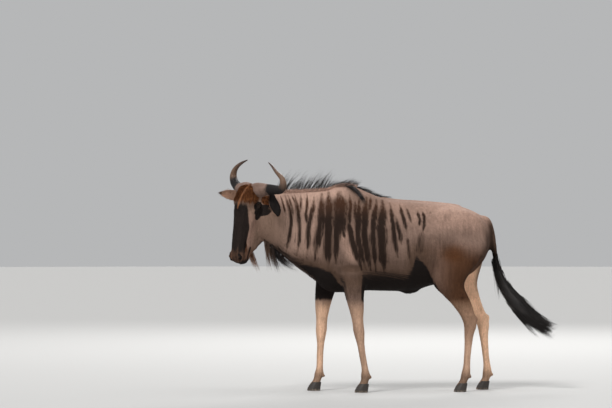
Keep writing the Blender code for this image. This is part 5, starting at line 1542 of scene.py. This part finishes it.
def ears(rng):
    """Each ear's skin, its hair and its side."""
    made = []
    for name in SIDES:
        obj, face = ear_mesh(name)
        root, along, *_ = EAR_LOOKS[name]
        point, normal = skin_samples(obj, EAR_HAIRS, lambda points: np.ones(len(points)), rng)
        skin_looks = ear_looks(vertex_values(obj.data, "co"), vertex_values(obj.data, "normal"), face, root)
        put_attributes(obj.data, skin_looks)
        inside = normal @ face > 0.3
        lift = np.where(inside, 0.55, 0.22)[:, None]
        along = np.array(Vector(along).normalized())
        way = unit(along + normal * lift + rng.normal(0, 0.18, point.shape))
        length = np.where(inside, rng.uniform(0.008, 0.026, len(point)),
                          rng.uniform(0.006, 0.011, len(point)))
        looks = ear_looks(point, normal, face, root) | {"tone": rng.random(len(point))}
        hair = strands(f"ear_{name}_hair", point - normal * 0.0008, way, np.zeros_like(way), length,
                       np.full(len(point), 0.0014), normal, looks, rings=2)
        made.append((obj, hair, name))
    return made


def horn_mesh(name, side):
    """A horn with a swollen, rough base, rings that fade and a smooth tip."""
    rows = smooth_rows([(side * x, s, n, radius) for x, s, n, radius in HORN], HORN_STEPS)
    share = np.linspace(0, 1, HORN_STEPS)
    for height, place, width in HORN_RAISE[name]:
        rows[:, 1] -= height * np.exp(-((share - place) / width) ** 2)
    path, radii = rows[:, :3], rows[:, 3] * (1 + HORN_SWELL * np.sin(np.pi * share))
    ahead = unit(np.gradient(path, axis=0))
    angle = np.linspace(0, 2 * np.pi, HORN_SIDES, endpoint=False)
    travelled = np.append(0, np.cumsum(np.linalg.norm(np.diff(path, axis=0), axis=1)))
    rings = []
    for point, tangent, radius, length in zip(path, ahead, radii, travelled):
        across = np.array((0, 0, 1.0)) - tangent * tangent[2]
        across /= np.linalg.norm(across)
        over = np.cross(tangent, across)
        base = max(0.0, 1 - length / HORN_BASE)
        broad, fine = (size * base * np.sin(angle * turns + length * run) * part
                       for size, turns, run, part in HORN_WAVES)
        reach = radius + (HORN_RINGS[0] * math.sin(length * HORN_RINGS[1]) * base + broad) + fine
        rings.append(point + np.outer(reach * np.cos(angle), over) + np.outer(reach * np.sin(angle), across))
    obj = loft(f"horn_{name}_look", rings)
    obj.data.transform(HEAD_SPACE)
    face_out(obj)
    put_attributes(obj.data, {"along": np.repeat(travelled / travelled[-1], HORN_SIDES)})
    obj.data.shade_smooth()
    return obj


def eye_mesh(name, side):
    """The ball, marked with how far each point is from the pupil's middle, along and across the opening."""
    centre, look, long, short = eye_axes(side)
    obj = blob(f"eye_{name}_look", tuple(centre), (EYE_RADIUS - EYE_GAP,) * 3, segments=EYE_FACETS)
    co = vertex_values(obj.data, "co") - centre
    put_attributes(obj.data, {"gaze": np.column_stack([co @ long, co @ short, co @ look]) / EYE_RADIUS})
    obj.data.shade_smooth()
    return obj


def claw_meshes(leg):
    """The two claws of one foot: flat below, blunt at the heel, pointed and turned a little in at the toe."""
    x, y = at_height(leg, HOOF_TOP_Z)
    length, width = CLAW_SIZES[leg[:4]]
    table = np.array(CLAW_PROFILE)
    angle = np.linspace(0, 2 * np.pi, 56, endpoint=False)
    along = -np.cos(angle)
    taper = np.where(along < 0, 1 - 0.55 * np.abs(along) ** 2.2, 1 - 0.12 * along**2)
    curl = -0.10 * (along < 0) * along**2 * width
    made = []
    for side, name in ((1, "outer"), (-1, "inner")):
        outward = side if leg.endswith("left") else -side
        rings = []
        for z in (0, 0.0015, *np.linspace(0.004, HOOF_TOP_Z, 22)):
            long, wide, lead = (np.interp(z, table[:, 0], table[:, k]) for k in (1, 2, 3))
            ring = 0.0004 * math.sin(z * 900) if 0.004 < z < HOOF_TOP_Z else 0.0
            u = (length * long / 2 + ring) * along
            v = np.maximum((width * wide / 2 + ring) * np.sin(angle) * taper * 1.12, -width * wide * 0.42)
            rings.append(np.column_stack([x + outward * (width * 0.5 + CLAW_SPLIT + v + curl),
                                          y + HOOF_LEAD + u + lead, np.full(len(angle), z)]))
        node = f"hoof_{leg.replace('leg', '')}_{name}"
        obj = loft(node + "_look", rings)
        obj.data.set_sharp_from_angle(angle=math.radians(50))
        made.append((obj, node))
    return made


def rgb(colour):
    return (*colour, 1.0)


class Graph:
    """A material's node graph, written as short calls."""

    def __init__(self, name, **sockets):
        self.material = bpy.data.materials.new(name)
        self.material.use_nodes = True
        self.tree = self.material.node_tree
        self.shader = self.tree.nodes["Principled BSDF"]
        for socket, value in sockets.items():
            self.shader.inputs[socket.replace("_", " ")].default_value = value

    def node(self, kind, inputs=(), **settings):
        made = self.tree.nodes.new("ShaderNode" + kind)
        for key, value in settings.items():
            setattr(made, key, value)
        for socket, value in dict(inputs).items():
            if isinstance(value, bpy.types.NodeSocket):
                self.tree.links.new(value, made.inputs[socket])
            else:
                made.inputs[socket].default_value = value
        return made

    def mark(self, name, kind="Fac"):
        return self.node("Attribute", attribute_name=name).outputs[kind]

    def math(self, operation, a, b=0.0, c=0.0):
        return self.node("Math", {0: a, 1: b, 2: c}, operation=operation).outputs[0]

    def plus(self, a, b):
        return self.math("ADD", a, b)

    def times(self, a, b):
        return self.math("MULTIPLY", a, b)

    def scaled(self, a, by, plus):
        return self.math("MULTIPLY_ADD", a, by, plus)

    def squared(self, a):
        return self.math("POWER", a, 2.0)

    def ramp(self, value, low, high, out_low=0.0, out_high=1.0):
        made = self.node("MapRange", {"Value": value, "From Min": low, "From Max": high, "To Min": out_low,
                                      "To Max": out_high}, interpolation_type="SMOOTHSTEP")
        return made.outputs["Result"]

    def mix(self, share, a, b, blend="MIX"):
        a, b = (rgb(value) if isinstance(value, tuple) else value for value in (a, b))
        return self.node("Mix", {0: share, 6: a, 7: b}, data_type="RGBA", blend_type=blend).outputs[2]

    def shaded(self, colour, light):
        grey = self.node("CombineColor", {0: light, 1: light, 2: light}).outputs[0]
        return self.mix(1.0, colour, grey, "MULTIPLY")

    def noise(self, vector, scale, detail=4.0, roughness=0.5):
        values = {"Vector": vector, "Scale": scale, "Detail": detail, "Roughness": roughness}
        return self.node("TexNoise", values).outputs["Fac"]

    def position(self):
        return self.node("NewGeometry").outputs["Position"]

    def height(self):
        return self.node("SeparateXYZ", {0: self.position()}).outputs[2]

    def bump(self, height, strength, distance):
        made = self.node("Bump", {"Height": height, "Strength": strength, "Distance": distance})
        self.set("Normal", made.outputs["Normal"])

    def set(self, socket, value):
        self.tree.links.new(value, self.shader.inputs[socket])


def coat_material(name, tufts):
    """Short coat: the marks carried by the mesh, broken up by fine streaks along the lie of the hair."""
    g = Graph(name, Roughness=0.70, Specular_IOR_Level=0.02)
    grain = g.mark("grain", "Vector")
    streak = g.noise(grain, 330.0, 3.0, 0.65)
    cloud = g.noise(g.position(), 9.0, 3.0)
    blotch = g.noise(grain, 42.0, 4.0, 0.6)
    lock = g.noise(grain, 130.0, 5.0, 0.6)
    upright = g.node("VectorMath", {0: g.position(), 1: (1.0, 1.0, 0.09)}, operation="MULTIPLY").outputs[0]
    brindle = g.noise(upright, 62.0, 5.0, 0.65)
    vary = g.scaled(brindle, 0.95, g.scaled(cloud, 0.55, 0.25))
    shade = g.times(vary, g.scaled(streak, 1.35, 0.33))
    if tufts:
        shade = g.times(shade, g.scaled(g.mark("tone"), 0.80, 0.62))
    colour = g.shaded(g.mark("hide", "Color"), shade)

    edge = g.scaled(blotch, 1.1, -0.55)
    rust = g.ramp(g.plus(g.mark("rust"), edge), 0.35, 0.75)
    rust_tone = g.mix(g.ramp(lock, 0.50, 0.72), RUST, RUST_LIT)
    rust_tone = g.mix(g.ramp(lock, 0.52, 0.34), rust_tone, RUST_DARK)
    colour = g.mix(rust, colour, rust_tone)

    ragged = g.scaled(streak, 0.45, g.scaled(brindle, 2.0, -1.22))
    stripe = g.scaled(ragged, g.ramp(g.mark("stripe"), 0.0, 0.22), g.mark("stripe"))
    stripe = g.ramp(stripe, 0.06, 0.80)
    stripe_tone = g.mix(g.ramp(g.height(), 1.10, 1.25), STRIPE_BROWN, STRIPE_TOP)
    colour = g.mix(g.times(stripe, 0.94), colour, stripe_tone)

    rough_edge = g.scaled(g.math("SUBTRACT", streak, 0.5), 0.8, g.times(edge, 0.9))
    black = g.ramp(g.plus(g.mark("black"), rough_edge), 0.25, 0.78)
    # Partly grey hair, partly painted sheen: grey streaks in the black.
    black_tone = g.mix(g.times(streak, 0.75), BLACK, BLACK_GREY)
    g.set("Base Color", g.mix(g.times(black, 0.97), colour, black_tone))
    if not tufts:
        relief = g.math("SUBTRACT", g.scaled(streak, 0.5, g.times(blotch, 0.5)), g.times(stripe, 0.7))
        g.bump(relief, 0.55, 0.0035)
    return g.material


def hair_material():
    """Long hair: dark at the root, a little lighter towards the tip, with a low gloss."""
    g = Graph("long_hair", Roughness=0.48, Specular_IOR_Level=0.35)
    light = g.times(g.scaled(g.mark("tip"), 0.9, 0.75), g.scaled(g.mark("tone"), 0.6, 0.7))
    g.set("Base Color", g.shaded(g.mark("hide", "Color"), light))
    return g.material


def horn_material():
    """Grey-brown keratin: pale, cracked and rough at the base, darker and smoother to the tip. The dark band
    past the base is partly dark horn, partly painted shade under the horn's bend.
    """
    g = Graph("horn_keratin", Specular_IOR_Level=0.22)
    along = g.mark("along")
    place = g.position()
    cloud = g.noise(place, 26.0, 4.0, 0.6)
    fine = g.noise(place, 170.0, 5.0, 0.7)
    rings = g.node("TexWave", {"Vector": place, "Scale": 34.0, "Distortion": 7.0, "Detail": 3.0})
    ringed = rings.outputs["Fac"]
    base = g.mix(g.ramp(cloud, 0.40, 0.75, 0.0, 0.6), HORN_PALE, HORN_BROWN)
    border = g.scaled(fine, 0.06, g.scaled(cloud, 0.10, along))
    # Partly dark horn, partly painted shade: the black band past the base, under the horn's bend.
    colour = g.mix(g.ramp(border, 0.330, 0.390), base, HORN_DARK)
    colour = g.mix(g.ramp(border, 0.56, 0.69), colour, HORN_BROWN)
    colour = g.mix(g.ramp(along, 0.66, 0.98), colour, HORN_TIP)
    cracks = g.ramp(g.scaled(fine, 0.7, g.times(cloud, 0.4)), 0.50, 0.80, 0.0, 0.55)
    g.set("Base Color", g.mix(cracks, colour, HORN_DARK))
    g.set("Roughness", g.ramp(along, 0.2, 0.8, 0.70, 0.42))
    relief = g.scaled(ringed, 0.35, g.times(fine, 0.8))
    g.bump(g.times(relief, g.ramp(along, 0.30, 0.75, 1.0, 0.2)), 0.8, 0.005)
    return g.material


def hoof_material():
    """Dark horn with growth rings, dusty at the ground."""
    g = Graph("hoof_keratin", Roughness=0.5, Specular_IOR_Level=0.35)
    height = g.height()
    rings = g.noise(g.node("CombineXYZ", {2: g.times(height, 9.0)}).outputs[0], 40.0, 3.0)
    scuff = g.noise(g.position(), 90.0, 5.0, 0.7)
    colour = g.mix(g.ramp(rings, 0.35, 0.70), HOOF_DARK, HOOF_LIGHT)
    dust = g.times(g.ramp(height, 0.018, 0.0), g.ramp(scuff, 0.40, 0.65))
    g.set("Base Color", g.mix(dust, colour, DUST))
    g.bump(g.plus(rings, g.times(scuff, 0.3)), 0.5, 0.0012)
    return g.material


def eye_material():
    """A wet dark eye: brown iris, level pupil, dark rim."""
    g = Graph("eye_wet", Roughness=0.12, Specular_IOR_Level=0.12, Coat_Weight=0.12, Coat_Roughness=0.04)
    gaze = g.mark("gaze", "Vector")
    across, over, _ = g.node("SeparateXYZ", {0: gaze}).outputs
    wide, high = (g.squared(g.math("DIVIDE", way, half)) for way, half in ((across, 0.30), (over, 0.17)))
    pupil = g.ramp(g.plus(wide, high), 0.75, 1.10, 1.0, 0.0)
    reach = g.math("SQRT", g.plus(g.squared(across), g.squared(over)))
    iris = g.mix(g.ramp(g.noise(gaze, 9.0, 4.0, 0.7), 0.3, 0.7), IRIS, IRIS_DARK)
    colour = g.mix(g.ramp(reach, 0.56, 0.66), iris, EYE_RIM)
    g.set("Base Color", g.mix(pupil, colour, BLACK))
    return g.material


def floor_material():
    g = Graph("studio_floor", Roughness=0.85, Specular_IOR_Level=0.1)
    g.shader.inputs["Base Color"].default_value = rgb(FLOOR_COLOUR)
    return g.material


def dressed(obj, material, shift):
    """Gives a piece its material and its place on the frame, and fixes it to the body."""
    obj.data.materials.clear()
    obj.data.materials.append(material)
    obj.data.transform(Matrix.Translation(shift))
    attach(obj, "root")
    return obj


def placed(name, data, place, way):
    """A light or camera at a place, looking along a way."""
    obj = linked(name, data)
    obj.location = place
    obj.rotation_euler = way.to_track_quat("-Z", "Y").to_euler()
    return obj


def stage_and_camera(shift):
    """A pale floor, soft light and the photograph's level view."""
    bpy.ops.mesh.primitive_circle_add(vertices=96, radius=40, fill_type="NGON", location=(0, 0, 0))
    floor = bpy.context.object
    floor.name = "studio_floor"
    floor.data.materials.append(floor_material())
    world = bpy.data.worlds.new("studio")
    world.use_nodes = True
    background = world.node_tree.nodes["Background"].inputs
    background[0].default_value = rgb(SKY_COLOUR)
    background[1].default_value = SKY_STRENGTH
    bpy.context.scene.world = world
    bpy.context.scene.view_settings.view_transform = "Standard"
    for name, place, softness, strength in SUNS:
        light = bpy.data.lights.new(name, "SUN")
        light.angle = math.radians(softness)
        light.energy = strength
        placed(name, light, place, -Vector(place))
    for name, place, aim, size, watts in AREAS:
        light = bpy.data.lights.new(name, "AREA")
        light.shape = "RECTANGLE"
        light.size, light.size_y = size
        light.energy = watts
        placed(name, light, place, Vector(aim) - Vector(place))

    back = Vector((math.sin(CAMERA_YAW), -math.cos(CAMERA_YAW), 0))
    right = Vector((math.cos(CAMERA_YAW), math.sin(CAMERA_YAW), 0))
    place = Vector(shift) + right * (AIM_ACROSS / PIXELS_A_METRE) + back * CAMERA_DISTANCE
    data = bpy.data.cameras.new("camera")
    data.sensor_width = SENSOR
    data.lens = SENSOR * CAMERA_DISTANCE / (IMAGE_WIDTH / PIXELS_A_METRE)
    data.clip_end = 200
    bpy.context.scene.camera = placed("camera", data, (place.x, place.y, CAMERA_HEIGHT), -back)


def frame_shift():
    """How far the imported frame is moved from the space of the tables, read from the left eye."""
    low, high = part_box("eye_left")
    shift = (low + high) / 2 - Vector(to_head([EYE_PLACE])[0])
    return Vector((shift.x, shift.y, 0))


def build():
    rng = np.random.default_rng(SEED)
    shift = frame_shift()
    skin = skin_form()
    tree = BVHTree.FromObject(skin, bpy.context.evaluated_depsgraph_get())
    put_attributes(skin.data, markings(vertex_values(skin.data, "co"), vertex_values(skin.data, "normal")))
    skin.data.shade_smooth()
    hide, fur, hair = coat_material("hide", False), coat_material("fur", True), hair_material()
    for obj in short_coat(skin, rng):
        dressed(obj, fur, shift)
    dressed(face_hair(skin, rng), fur, shift)
    dressed(lashes(rng), hair, shift)
    dressed(skin, hide, shift)
    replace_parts(skin, *FLESH)
    for obj in (mane(tree, rng), beard(tree, rng), crest_fringe(tree, rng), chin_tuft(tree, rng),
                shoulder_lock(rng), tail_hair(rng)):
        dressed(obj, hair, shift)
    core = dressed(tail_core(rng), hair, shift)
    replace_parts(core, "tail_tuft")
    for obj, hairs, name in ears(rng):
        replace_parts(dressed(obj, hide, shift), "ear_" + name)
        dressed(hairs, fur, shift)
    horn, eye, hoof = horn_material(), eye_material(), hoof_material()
    for name, side in SIDES.items():
        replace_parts(dressed(horn_mesh(name, side), horn, shift), "horn_" + name)
        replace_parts(dressed(eye_mesh(name, side), eye, shift), "eye_" + name)
    for leg in LEG_LINES:
        for obj, node in claw_meshes(leg):
            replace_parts(dressed(obj, hoof, shift), node)
    stage_and_camera(shift)


build()
